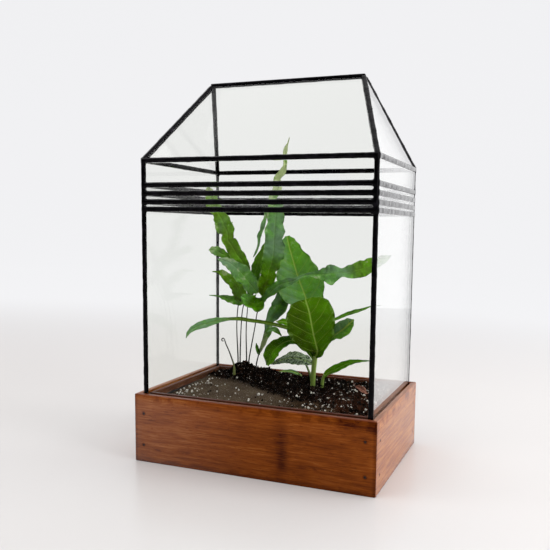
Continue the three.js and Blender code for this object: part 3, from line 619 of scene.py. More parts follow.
def withered_skin(name):
    """A fallen leaf, dried to a pinkish brown, with darker veins."""
    finish = Finish(name)
    across, along = finish.flat_axes("flat")
    veins = finish.stretched(across * 900.0, along * 160.0, 0.0, 3.0, 0.6)
    colour = finish.ramp(
        (veins * 0.6 + finish.noise(300.0, 3.0, 0.6) * 0.5).limited(),
        (0.3, tint(70, 38, 30)), (0.52, tint(132, 84, 70)), (0.75, tint(190, 146, 126)),
    )
    return finish.surface(
        Base_Color=colour, Roughness=0.7, Specular_IOR_Level=0.1, Normal=finish.bump(veins, 0.0004, 0.7)
    )


def stalk_skin(name, colour):
    """A stalk: fine lengthwise ridges, tinted by its tone."""
    finish = Finish(name)
    bluish, light, yellow = finish.axes(finish.attribute("tone"))
    across, along = finish.flat_axes("flat")
    ridges = finish.stretched(across * 2600.0, along * 60.0, 0.0)
    mottle = finish.noise(260.0, 3.0)
    body = finish.ramp(
        (light + (mottle - 0.5) * 0.3 + (ridges - 0.5) * 0.25).limited(),
        (0.0, [0.25 * c for c in colour]), (0.5, colour), (1.0, [min(1.0, 2.2 * c) for c in colour]),
    )
    body = finish.blend(yellow, body, tint(178, 192, 104))
    body = finish.blend(bluish, body, tint(44, 40, 34))
    return finish.surface(Base_Color=body, Roughness=0.45, Normal=finish.bump(ridges, 0.0002, 0.5))


def studio_paper(name, settings):
    """Paper with the faintest tooth: a soft gloss near the object, and glowing far behind it."""
    finish = Finish(name)
    x, y, z = finish.axes()
    far = finish.spread(y + abs(x) * 0.25 + z, 0.25, 1.3)
    clouded = finish.spread(finish.noise(1.6), 0.3, 0.7, 0.0, 0.25)
    tinted = finish.blend(clouded, settings.floor, [0.95 * c for c in settings.floor])
    return finish.surface(
        Base_Color=finish.blend(far, tinted, (0.05, 0.05, 0.05)),
        Roughness=0.9,
        Specular_IOR_Level=0.0,
        Coat_Weight=finish.spread((x * x + y * y) ** 0.5, 0.12, 0.4, 0.85, 0.0),
        Coat_Roughness=0.24,
        Emission_Color=finish.blend(far, (0.0, 0.0, 0.0), settings.backdrop),
        Emission_Strength=1.0,
        Normal=finish.bump(finish.noise(220.0), 0.0002, 0.2),
    )


def studio_room(name, settings):
    """Soft light from above and behind, and a dark room in front."""
    finish = Finish(name, "worlds")
    _, y, z = finish.axes(finish.node("ShaderNodeTexCoord", out="Generated"))
    lit = finish.spread(y + z * 1.3, -0.1, 0.75)
    colour = finish.blend(lit, settings.dark_side, (1.0, 1.0, 1.0))
    return finish.done(
        finish.node("ShaderNodeBackground", None, {"Color": colour, "Strength": settings.room}),
        "ShaderNodeOutputWorld",
    )


# ------------------------------------------------------------------ modelling by hand
def deselect():
    bpy.ops.object.select_all(action="DESELECT")


def take(thing):
    """Makes one object the only selected and active one."""
    deselect()
    thing.select_set(True)
    bpy.context.view_layer.objects.active = thing


def named(name):
    thing = bpy.context.active_object
    thing.name = name
    thing.data.name = name
    return thing


def settle(thing):
    """Moves the object's place, turn and scale into its mesh."""
    take(thing)
    bpy.ops.object.transform_apply(location=True, rotation=True, scale=True)
    return thing


@contextmanager
def editing(thing, by="FACE"):
    """Edit mode on one object, with nothing selected at first."""
    take(thing)
    bpy.ops.object.mode_set(mode="EDIT")
    bpy.ops.mesh.select_mode(type=by)
    bpy.ops.mesh.select_all(action="DESELECT")
    try:
        yield thing.data
    finally:
        bpy.ops.object.mode_set(mode="OBJECT")


def pick_faces(mesh, test):
    """Selects the faces whose centre and normal pass the test, in edit mode."""
    bpy.ops.mesh.select_all(action="DESELECT")
    shape = bmesh.from_edit_mesh(mesh)
    for face in shape.faces:
        face.select_set(test(face.calc_center_median(), face.normal))
    bmesh.update_edit_mesh(mesh)


def cut(mesh, point, normal, clear=False):
    """Cuts the whole mesh by a plane; with clear, the side that the normal points to goes."""
    bpy.ops.mesh.select_all(action="SELECT")
    bpy.ops.mesh.bisect(plane_co=point, plane_no=normal, use_fill=clear, clear_outer=clear)


def extrude_faces(move):
    bpy.ops.mesh.extrude_region_move(TRANSFORM_OT_translate={"value": move})


def extrude_edges(move):
    bpy.ops.mesh.extrude_edges_move(TRANSFORM_OT_translate={"value": move})


def block(name, low, high):
    """A box from corner to corner."""
    deselect()
    middle = [(a + b) / 2 for a, b in zip(low, high)]
    size = [b - a for a, b in zip(low, high)]
    bpy.ops.mesh.primitive_cube_add(size=1, location=middle, scale=size)
    return settle(named(name))


def bar(name, start, end, width):
    """A square bar from start to end."""
    start, end = Vector(start), Vector(end)
    along = end - start
    deselect()
    bpy.ops.mesh.primitive_cube_add(
        size=1,
        location=(start + end) / 2,
        rotation=along.to_track_quat("Z", "Y").to_euler(),
        scale=(width, width, along.length),
    )
    return settle(named(name))


def disc(name, radius, thickness, place):
    """A short cylinder that lies along Y."""
    deselect()
    bpy.ops.mesh.primitive_cylinder_add(
        vertices=NAIL_SIDES, radius=radius, depth=thickness, location=place, rotation=(math.pi / 2, 0, 0)
    )
    return settle(named(name))


def join(name, parts):
    deselect()
    for part in parts:
        part.select_set(True)
    bpy.context.view_layer.objects.active = parts[0]
    if len(parts) > 1:
        bpy.ops.object.join()
    return named(name)


def finish_with(thing, kind, **settings):
    """Adds a modifier and applies it."""
    take(thing)
    modifier = thing.modifiers.new(kind.title(), kind)
    for name, value in settings.items():
        setattr(modifier, name, value)
    bpy.ops.object.modifier_apply(modifier=modifier.name)


def smooth(thing, angle):
    take(thing)
    bpy.ops.object.shade_smooth_by_angle(angle=math.radians(angle))


def wear(thing, *materials):
    thing.data.materials.clear()
    for material in materials:
        thing.data.materials.append(material)


def dress(thing, slot, materials, *nodes):
    """Gives a piece its finishes and its body, and hides the CAD nodes that it stands for; its slot is not
    used.
    """
    wear(thing, *materials)
    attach(thing, BODY)
    if nodes:
        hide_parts(*nodes)


def mesh_object(name, points, faces):
    mesh = bpy.data.meshes.new(name)
    mesh.from_pydata([tuple(point) for point in points], [], faces)
    mesh.update()
    thing = bpy.data.objects.new(name, mesh)
    bpy.context.scene.collection.objects.link(thing)
    return thing


# ------------------------------------------------------------------ studio
CAMERA_PLACE = Vector((0.243796, -0.580772, 0.216140))
CAMERA_YAW = 0.356155
CAMERA_DOWN = 0.109537
CAMERA_ROLL = 0.014763
CAMERA_LENS = 43.73
CAMERA_SENSOR = 36.0
CAMERA_SHIFT = (-0.0647, 0.0474)
CAMERA_NEAR = 0.01

SWEEP_SIZE = (9.0, 4.8, 1.0)
SWEEP_MIDDLE = (0, -0.4, 0)
SWEEP_BACK = 1.9
SWEEP_TURNS = 14
SWEEP_RADIUS = 0.7
SWEEP_HEIGHT = 2.4

# Each light's name, its place, where it points, its width and height, and its setting.
LIGHTS = [
    ("key_light", (-1.0, -0.75, 1.45), (0, 0, 0.12), (1.3, 1.1), "key_power"),
    ("top_light", (0.15, 0.25, 1.9), (0, 0, 0.1), (1.8, 1.6), "top_power"),
    ("side_light", (0.78, 0.98, 0.75), (0.62, 0.0, 0.62), (1.5, 1.5), "side_power"),
    ("right_light", (1.15, -0.05, 0.7), (0.05, 0.0, 0.05), (1.0, 0.9), "right_power"),
]


class TERRARIUM_OT_studio(Operator):
    """Sets up the floor, the sweep behind it, the lights and the camera"""

    bl_idname = "terrarium.studio"
    bl_label = "Studio"
    bl_options = UNDOABLE

    def execute(self, context):
        settings = context.scene.terrarium_studio
        self.make_sweep(settings)
        self.make_lights(context.scene, settings)
        self.make_camera(context.scene)
        return {"FINISHED"}

    def make_sweep(self, settings):
        """A floor that curves up into a wall behind, far outside the view."""
        deselect()
        bpy.ops.mesh.primitive_plane_add(size=1, location=SWEEP_MIDDLE)
        sweep = named("studio_sweep")
        sweep.scale = SWEEP_SIZE
        settle(sweep)
        with editing(sweep, "EDGE"):
            shape = bmesh.from_edit_mesh(sweep.data)
            for edge in shape.edges:
                edge.select_set(all(vertex.co.y > SWEEP_BACK for vertex in edge.verts))
            bmesh.update_edit_mesh(sweep.data)
            step = SWEEP_RADIUS * math.pi / 2 / SWEEP_TURNS
            for turn in range(SWEEP_TURNS):
                lean = (turn + 0.5) / SWEEP_TURNS * math.pi / 2
                extrude_edges((0, step * math.cos(lean), step * math.sin(lean)))
            extrude_edges((0, 0, SWEEP_HEIGHT))
        smooth(sweep, 60)
        wear(sweep, studio_paper("studio paper", settings))

    def make_lights(self, scene, settings):
        for name, place, target, (width, height), power in LIGHTS:
            turn = (Vector(target) - Vector(place)).to_track_quat("-Z", "Y").to_euler()
            bpy.ops.object.light_add(type="AREA", location=place, rotation=turn)
            light = named(name)
            light.data.shape = "RECTANGLE"
            light.data.size = width
            light.data.size_y = height
            light.data.energy = getattr(settings, power)
            light.visible_camera = False
        scene.world = studio_room("studio room", settings)
        scene.view_settings.view_transform = "Standard"

    def make_camera(self, scene):
        yaw, down, roll = CAMERA_YAW, CAMERA_DOWN, CAMERA_ROLL
        forward = Vector((-math.sin(yaw) * math.cos(down), math.cos(yaw) * math.cos(down), -math.sin(down)))
        level = Vector((math.cos(yaw), math.sin(yaw), 0))
        upright = level.cross(forward)
        right = level * math.cos(roll) + upright * math.sin(roll)
        up = upright * math.cos(roll) - level * math.sin(roll)
        bpy.ops.object.camera_add()
        camera = named("camera")
        turn = Matrix((right, up, -forward)).transposed()
        camera.matrix_world = Matrix.Translation(CAMERA_PLACE) @ turn.to_4x4()
        camera.data.sensor_width = CAMERA_SENSOR
        camera.data.lens = CAMERA_LENS
        camera.data.shift_x, camera.data.shift_y = CAMERA_SHIFT
        camera.data.clip_start = CAMERA_NEAR
        scene.camera = camera


# ------------------------------------------------------------------ box
class TERRARIUM_OT_box(Operator):
    """Builds the four mitred, grooved walls of the bamboo box and finishes its floor"""

    bl_idname = "terrarium.box"
    bl_label = "Bamboo box"
    bl_options = UNDOABLE

    def execute(self, context):
        settings = context.scene.terrarium_box
        long_grain = bamboo("bamboo, grain along the front", settings, 0)
        cross_grain = bamboo("bamboo, grain along the sides", settings, 90)
        for side, turn in SIDES:
            wall = self.make_wall(f"bamboo_wall_{side}", turn, settings)
            wood = long_grain if turn % 180 == 0 else cross_grain
            dress(wall, "bamboo", [wood], f"box_wall_{side}")
        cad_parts["box_floor"].material_slots[0].material = long_grain
        return {"FINISHED"}

    def make_wall(self, name, turn, settings):
        """One wall, cut as the front wall and turned to its side."""
        half_length, out = side_sizes(turn)
        front = -out
        spare = 10 * MM
        reach = half_length + spare
        wall = block(name, (-reach, front, 0), (reach, front + WALL_THICKNESS, BOX_TOP))
        with editing(wall) as mesh:
            for depth in (GROOVE_NEAR, GROOVE_FAR):
                cut(mesh, (0, front + depth, 0), (0, 1, 0))
            pick_faces(mesh, lambda centre, normal: (
                normal.z > SQUARELY and GROOVE_NEAR < centre.y - front < GROOVE_FAR
            ))
            extrude_faces((0, 0, -GROOVE_DEPTH))
            for way in (-1, 1):
                cut(mesh, (way * (half_length - MITRE_GAP), front, 0), (way, 1, 0), clear=True)
        sharp = math.radians(40)
        finish_with(
            wall, "BEVEL", width=settings.rounding, segments=3, limit_method="ANGLE", angle_limit=sharp
        )
        radius = settings.nail_radius * BORE_SLACK
        cutter = join("nail_bores", [
            disc("bore", radius, BORE_DEPTH, (way * (half_length - inset), front, height))
            for way in (-1, 1)
            for inset, height in nail_places(turn)
        ])
        finish_with(wall, "BOOLEAN", operation="DIFFERENCE", object=cutter, solver="EXACT")
        bpy.data.objects.remove(cutter)
        wall.rotation_euler.z = math.radians(turn)
        settle(wall)
        smooth(wall, 30)
        return wall


class TERRARIUM_OT_nails(Operator):
    """Sets the small brads at the box's corners, their heads just below the wood"""

    bl_idname = "terrarium.nails"
    bl_label = "Nails"
    bl_options = UNDOABLE

    def execute(self, context):
        settings = context.scene.terrarium_box
        steel = nail_steel("oxidised nail")
        pattern = self.make_head(settings)
        for side, turn in SIDES:
            half_length, out = side_sizes(turn)
            turned = Matrix.Rotation(math.radians(turn), 4, "Z")
            for way, way_name in ((-1, "left"), (1, "right")):
                for (inset, height), level in zip(nail_places(turn), ("upper", "lower")):
                    nail = pattern.copy()
                    nail.data = pattern.data.copy()
                    nail.name = nail.data.name = f"nail_{side}_{way_name}_{level}"
                    context.scene.collection.objects.link(nail)
                    spot = (way * (half_length - inset), -out + settings.nail_depth, height)
                    nail.data.transform(turned @ Matrix.Translation(spot))
                    dress(nail, "bamboo", [steel])
        bpy.data.objects.remove(pattern)
        return {"FINISHED"}

    def make_head(self, settings):
        """A brad's head and the start of its shank, lying along Y with its face at the origin."""
        half = NAIL_HEAD_THICKNESS / 2
        head = disc("nail_pattern", settings.nail_radius, NAIL_HEAD_THICKNESS, (0, half, 0))
        with editing(head) as mesh:
            pick_faces(mesh, lambda centre, normal: normal.y < -SQUARELY)
            bpy.ops.mesh.inset(thickness=NAIL_DISH_INSET, depth=NAIL_DISH_DEPTH)
            pick_faces(mesh, lambda centre, normal: normal.y > SQUARELY)
            bpy.ops.mesh.inset(thickness=NAIL_SHANK_INSET)
            extrude_faces((0, NAIL_SHANK_LENGTH, 0))
        smooth(head, 50)
        return head


class TERRARIUM_OT_liner(Operator):
    """Finishes the waterproof tray between the soil and the wood"""

    bl_idname = "terrarium.liner"
    bl_label = "Liner"
    bl_options = UNDOABLE

    def execute(self, context):
        plastic = liner_plastic("liner plastic", context.scene.terrarium_box)
        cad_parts["liner_tray"].material_slots[0].material = plastic
        return {"FINISHED"}


# ------------------------------------------------------------------ glass house
class TERRARIUM_OT_solder(Operator):
    """Runs the solder seams: a lattice on each wall, four hips and the ridge"""

    bl_idname = "terrarium.solder"
    bl_label = "Solder seams"
    bl_options = UNDOABLE

    def execute(self, context):
        settings = context.scene.terrarium_house
        finish = [patina("blackened solder", settings)]
        for side, turn in SIDES:
            lattice = self.make_lattice(f"seams_{side}", turn, settings)
            dress(lattice, "solder", finish, f"solder_{side}")
        ends = [(way * RIDGE_HALF, 0, RIDGE_HEIGHT) for way in (-1, 1)]
        ridge = self.bead("seam_ridge", [(*ends, SEAM_WIDTH)], settings)
        dress(ridge, "solder", finish, "solder_ridge")
        half_width, half_depth = side_sizes(0, SEAM_INSET)
        for way_x, x_name in ((-1, "left"), (1, "right")):
            for way_y, y_name in ((-1, "front"), (1, "back")):
                corner = (way_x * half_width, way_y * half_depth, EAVE_HEIGHT)
                peak = (way_x * HIP_TOP_HALF, way_y * HIP_TOP_OFFSET, RIDGE_HEIGHT - HIP_TOP_OFFSET)
                hip = self.bead(f"seam_hip_{y_name}_{x_name}", [(corner, peak, SEAM_WIDTH)], settings)
                dress(hip, "solder", finish, f"solder_hip_{y_name}_{x_name}")
        return {"FINISHED"}

    def make_lattice(self, name, turn, settings):
        """One wall's seams, run as the front wall's, mitred at the corners, turned to their side."""
        across, out = side_sizes(turn, SEAM_INSET)
        levels = [SILL_HEIGHT, *BAND_HEIGHTS, EAVE_HEIGHT]
        foot = SILL_HEIGHT - SEAM_WIDTH / 2
        top = EAVE_HEIGHT + SEAM_WIDTH / 2
        lines = [((-across, -out, z), (across, -out, z), SEAM_WIDTH) for z in levels]
        turned = Matrix.Rotation(math.radians(turn), 3, "Z")
        for way in (-1, 1):
            in_front = (turned @ Vector((way * across, -out, 0))).y < 0
            x = way * (across - (POST_SHIFT if in_front else 0))
            lines.append(((x, -out, foot), (x, -out, top), POST_WIDTH if in_front else BACK_POST_WIDTH))
        lattice = self.bead(name, lines, settings, turn)
        with editing(lattice) as mesh:
            for way in (-1, 1):
                corner = turned @ Vector((way * (across - MITRE_GAP), -out, 0))
                cut(mesh, corner, turned @ Vector((way, 1, 0)), clear=True)
        smooth(lattice, 50)
        return lattice

    def bead(self, name, lines, settings, turn=0):
        """Bars melted into one, softened, and swollen and dimpled as hand-run solder is."""
        bead = join(name, [bar("seam", *line) for line in lines])
        bead.rotation_euler.z = math.radians(turn)
        settle(bead)
        finish_with(bead, "REMESH", mode="VOXEL", voxel_size=settings.fineness)
        finish_with(bead, "SMOOTH", factor=0.5, iterations=SOLDER_SOFTENING)
        lumps = bpy.data.textures.new(f"{name} lumps", "CLOUDS")
        lumps.noise_scale = SOLDER_LUMP_SIZE
        lumps.noise_depth = 2
        finish_with(
            bead, "DISPLACE", texture=lumps, strength=settings.lumps, mid_level=0.0, texture_coords="LOCAL"
        )
        for vertex in bead.data.vertices:
            vertex.co.z = min(vertex.co.z, WHOLE_HIGH.z)
        smooth(bead, 60)
        return bead


class TERRARIUM_OT_glass(Operator):
    """Finishes the 24 panes of clear glass"""

    bl_idname = "terrarium.glass"
    bl_label = "Glass panes"
    bl_options = UNDOABLE

    def execute(self, context):
        settings = context.scene.terrarium_house
        clear = clear_glass("clear glass", settings)
        hazy = clear_glass("clear glass, narrow strips", settings, haze=STRIP_HAZE)
        for name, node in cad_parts.items():
            if name.startswith("glass_"):
                node.material_slots[0].material = hazy if "_strip_" in name else clear
        return {"FINISHED"}


# ------------------------------------------------------------------ soil
def heap_foot_at(x):
    """Depth of the dark soil's front foot at x, both in millimetres."""
    for (x0, y0), (x1, y1) in zip(HEAP_FOOT, HEAP_FOOT[1:]):
        if x <= x1:
            return y0 + (y1 - y0) * max(0.0, (x - x0) / (x1 - x0))
    return HEAP_FOOT[-1][1]


def eased(value, low, high):
    share = min(1.0, max(0.0, (value - low) / (high - low)))
    return share * share * (3 - 2 * share)


def heaped_at(x, y):
    """0 on the smooth soil at the front, 1 on the dark heaped soil."""
    wander = HEAP_WANDER * noise.noise(Vector((x * WANDER_RATE, y * WANDER_RATE, 4.0)))
    return eased(y + wander - heap_foot_at(x), -3.0, 2.5)


def soil_level(x, y):
    """Height of the soil, all in millimetres: its heaps, then its lumps and its crumbs."""
    level = SOIL_EDGE_LEVEL + SOIL_RISE_TO_BACK * (y + SOIL_HIGH.y / MM)
    for heap_x, heap_y, spread_x, spread_y, height in SOIL_HEAPS:
        level += height * math.exp(-((x - heap_x) / spread_x) ** 2 - ((y - heap_y) / spread_y) ** 2)
    heaped = heaped_at(x, y)
    level += heaped * HEAP_STEP - 0.3
    lumps = noise.fractal(Vector((x * LUMP_RATE, y * LUMP_RATE, 1.5)), 0.9, 2.1, 4)
    crumbs = noise.fractal(Vector((x * CRUMB_RATE, y * CRUMB_RATE, 7.5)), 0.7, 2.2, 3)
    rough = max(heaped, 0.55 * eased(x, 0, 45))
    level += lumps * (0.35 + 1.5 * heaped) + crumbs * (0.1 + 1.0 * rough)
    return level


class TERRARIUM_OT_soil(Operator):
    """Fills the box with soil, heaped and crumbly behind, smoother in front"""

    bl_idname = "terrarium.soil"
    bl_label = "Soil"
    bl_options = UNDOABLE

    def execute(self, context):
        settings = context.scene.terrarium_planting
        size = SOIL_HIGH - SOIL_LOW
        deselect()
        bpy.ops.mesh.primitive_grid_add(
            x_subdivisions=round(size.x / settings.soil_cell),
            y_subdivisions=round(size.y / settings.soil_cell),
            size=1,
            location=(0, 0, SOIL_LOW.z),
        )
        soil = named("potting_soil")
        soil.scale = (size.x, size.y, 1)
        settle(soil)
        for vertex in soil.data.vertices:
            vertex.co.z = soil_level(vertex.co.x / MM, vertex.co.y / MM) * MM
        with editing(soil, "EDGE"):
            bpy.ops.mesh.select_non_manifold()
            extrude_edges((0, 0, -SOIL_SKIRT * MM))
            bpy.ops.mesh.edge_face_add()
            shape = bmesh.from_edit_mesh(soil.data)
            for vertex in shape.verts:
                if vertex.select:
                    vertex.co.z = SOIL_LOW.z
            bmesh.update_edit_mesh(soil.data)
            bpy.ops.mesh.select_all(action="SELECT")
            bpy.ops.mesh.normals_make_consistent(inside=False)
        heaped = soil.data.attributes.new("heaped", "FLOAT", "POINT")
        for vertex, value in zip(soil.data.vertices, heaped.data):
            value.value = heaped_at(vertex.co.x / MM, vertex.co.y / MM)
        smooth(soil, 80)
        dress(soil, "soil", [potting_soil("potting soil", settings)], "soil")
        return {"FINISHED"}


def grain_shape(seed, squash, rough):
    """A small lump, of 80 faces or of 20 where it is very rough, as points and faces."""
    deselect()
    bpy.ops.mesh.primitive_ico_sphere_add(subdivisions=1 if rough > 0.3 else 2, radius=1)
    lump = named("lump")
    chance = random.Random(seed)
    offset = Vector((chance.random() * 50, seed * 3.7, 0))
    for vertex in lump.data.vertices:
        vertex.co *= 1 + rough * noise.noise(vertex.co * 1.4 + offset)
        vertex.co = [along * share for along, share in zip(vertex.co, squash)]
    points = [vertex.co.copy() for vertex in lump.data.vertices]
    faces = [tuple(face.vertices) for face in lump.data.polygons]
    bpy.data.objects.remove(lump)
    return points, faces


def scatter(name, shapes, grains, chance):
    """Joins copies of a few shapes, each turned at random, into one mesh: grains are (x, y, z, size)."""
    points, faces = [], []
    for x, y, z, size in grains:
        shape_points, shape_faces = chance.choice(shapes)
        turn = Euler([chance.uniform(0, 2 * math.pi) for _ in range(3)]).to_matrix() * (size * MM)
        centre = Vector((x, y, z)) * MM
        first = len(points)
        points += [turn @ point + centre for point in shape_points]
        faces += [tuple(first + index for index in face) for face in shape_faces]
    return mesh_object(name, points, faces)


class TERRARIUM_OT_grains(Operator):
    """Scatters perlite, crumbs of bark and a dry curled leaf over the soil"""

    bl_idname = "terrarium.grains"
    bl_label = "Perlite and crumbs"
    bl_options = UNDOABLE

    def execute(self, context):
        settings = context.scene.terrarium_planting
        chance = random.Random(RANDOM_SEED)
        puffs = [grain_shape(seed, PERLITE_SQUASH, 0.3) for seed in range(PERLITE_SHAPES)]
        chips = [grain_shape(seed + CRUMB_SEED, CRUMB_SQUASH, 0.9) for seed in range(CRUMB_SHAPES)]
        places = self.places(settings.perlite, chance, self.perlite_size, PERLITE_PROUD)
        perlite = scatter("perlite_grains", puffs, places, chance)
        smooth(perlite, 50)
        dress(perlite, "soil", [perlite_grain("perlite")])
        places = self.places(settings.crumbs, chance, self.crumb_size, CRUMB_PROUD)
        crumbs = scatter("soil_crumbs", chips, places, chance)
        dress(crumbs, "soil", [bark_crumb("bark crumbs")])
        grow("dry_leaf", "soil", [withered_skin("withered leaf"), withered_skin("straw")], DRY_LEAF)
        return {"FINISHED"}

    def places(self, count, chance, size_at, proud):
        """Random spots on the soil, each with the size of its grain and how far it stands proud."""
        reach_x, reach_y = SOIL_HIGH.x / MM - GRAIN_MARGIN, SOIL_HIGH.y / MM - GRAIN_MARGIN
        grains = []
        while len(grains) < count:
            x, y = chance.uniform(-reach_x, reach_x), chance.uniform(-reach_y, reach_y)
            size = size_at(x, y, chance)
            if size:
                grains.append((x, y, soil_level(x, y) + proud * size, size))
        return grains

    def perlite_size(self, x, y, chance):
        """The size of a grain of perlite, or None: most lie at the right and at the far left."""
        at_right = 0.22 + 0.78 * eased(x, 15, 60)
        at_left = 0.9 * eased(x + 102, 0, 8) * eased(-68 - x, 0, 12) * eased(30 - y, 0, 12)
        bare = noise.noise(Vector((x * WANDER_RATE, y * WANDER_RATE, 9.0))) < -0.1
        if bare or chance.random() > max(at_right, at_left):
            return None
        size = 0.35 + 0.9 * chance.random() ** 2.3
        return size + 0.55 if chance.random() < 0.07 else size

    def crumb_size(self, x, y, chance):
        """The size of a crumb, or None: most lie on the heaped soil."""
        if chance.random() > 0.05 + 0.95 * max(heaped_at(x, y), 0.5 * eased(x, 5, 45)):
            return None
        return 0.5 + 1.7 * chance.random() ** 2.5


# ------------------------------------------------------------------ leaves
TO_VIEWER = (0.35, -0.9, 0.15)
UPWARD = (0, -0.5, 0.85)
BLADE_ROWS = 8
BLADE_COLUMNS = 14
STALK_ROWS = 7
STALK_SIDES = 10
FERN_SLIMNESS = 0.8
LEAST_HALF_WIDTH = 0.3
# The half width in mm from which a blade's crinkles have their full height.
CRINKLED_WIDTH = 8
# A margin's small and large bays: how often they come in a mm, and their share of the width.
EDGE_RATE, EDGE_SHARE = 0.28, 0.08
BAY_RATE, BAY_SHARE = 0.13, 0.26
# Crinkles along the margins and dents all over: how often they come, and their height.
CRINKLE_RATE, CRINKLE_HEIGHT = 0.9, 0.13
DENT_RATE, DENT_HEIGHT = 0.14, 0.9
# A midrib's share of the half width, the most that it stands proud, and its half width in mm.
RIB_SHARE, RIB_HEIGHT, RIB_WIDTH = 0.2, 0.35, 0.7
# How much bluer and lighter the underside of a blade is.
UNDER_BLUER, UNDER_LIGHTER = 0.25, 0.12


class Stalk(NamedTuple):
    """A round stalk along points (x, y, z, radius), toned by (fraction, bluish, light, yellow)."""

    points: list
    tones: list


class Blade(NamedTuple):
    """A leaf or lobe along points (x, y, z, half width), whose upper side faces one way."""

    facing: tuple
    points: list
    # Tones are (fraction, bluish, light, yellow); light is painted light and shade, bluish partly painted
    # sheen.
    tones: list = [(0, 0.15, 0.5, 0.0)]
    fold: float = 0.15  # how far its sides rise, as a share of the half width
    wave: float = 0  # the height of its margins' waves, as such a share
    ripples: int = 3  # how many waves each margin has
    crinkle: float = 1.0
    thick: float = 0.5
    ribbed: float = 1.0  # how clearly its veins show
    left: tuple = (0, 0, 0)  # what its left half adds to its tones
    right: tuple = (0, 0, 0)


class Spine:
    """A smooth line through points (x, y, z, half width) in millimetres."""

    def __init__(self, points):
        self.points = [Vector(point[:3]) for point in points]
        self.sizes = [point[3] for point in points]
        self.spans = len(points) - 1

    def span_at(self, fraction):
        place = min(max(fraction, 0.0), 1.0) * self.spans
        index = min(int(place), self.spans - 1)
        return index, place - index

    def at(self, fraction):
        index, share = self.span_at(fraction)
        here, there = self.points[index], self.points[index + 1]
        before = self.points[index - 1] if index > 0 else 2 * here - there
        after = self.points[index + 2] if index + 2 <= self.spans else 2 * there - here
        lean_here, lean_there = (there - before) * 0.5, (after - here) * 0.5
        square, cube = share * share, share ** 3
        return (
            here
            + lean_here * share
            + (3 * (there - here) - 2 * lean_here - lean_there) * square
            + (2 * (here - there) + lean_here + lean_there) * cube
        )

    def along(self, fraction):
        return (self.at(min(fraction + 1e-3, 1.0)) - self.at(max(fraction - 1e-3, 0.0))).normalized()

    def size(self, fraction):
        index, share = self.span_at(fraction)
        return self.sizes[index] + (self.sizes[index + 1] - self.sizes[index]) * eased(share, 0, 1)

    def walk(self, rows):
        """Yields the fraction, the place, the direction and the length so far at each row."""
        walked = 0.0
        previous = self.at(0)
        for row in range(rows * self.spans + 1):
            fraction = row / (rows * self.spans)
            centre = self.at(fraction)
            walked += (centre - previous).length
            previous = centre
            yield fraction, centre, self.along(fraction), walked


def tone_at(tones, fraction):
    """Reads a list of (fraction, bluish, light, yellow) at a fraction along."""
    if fraction <= tones[0][0]:
        return tones[0][1:]
    for first, second in zip(tones, tones[1:]):
        if fraction <= second[0]:
            share = (fraction - first[0]) / (second[0] - first[0])
            return tuple(a + (b - a) * share for a, b in zip(first[1:], second[1:]))
    return tones[-1][1:]


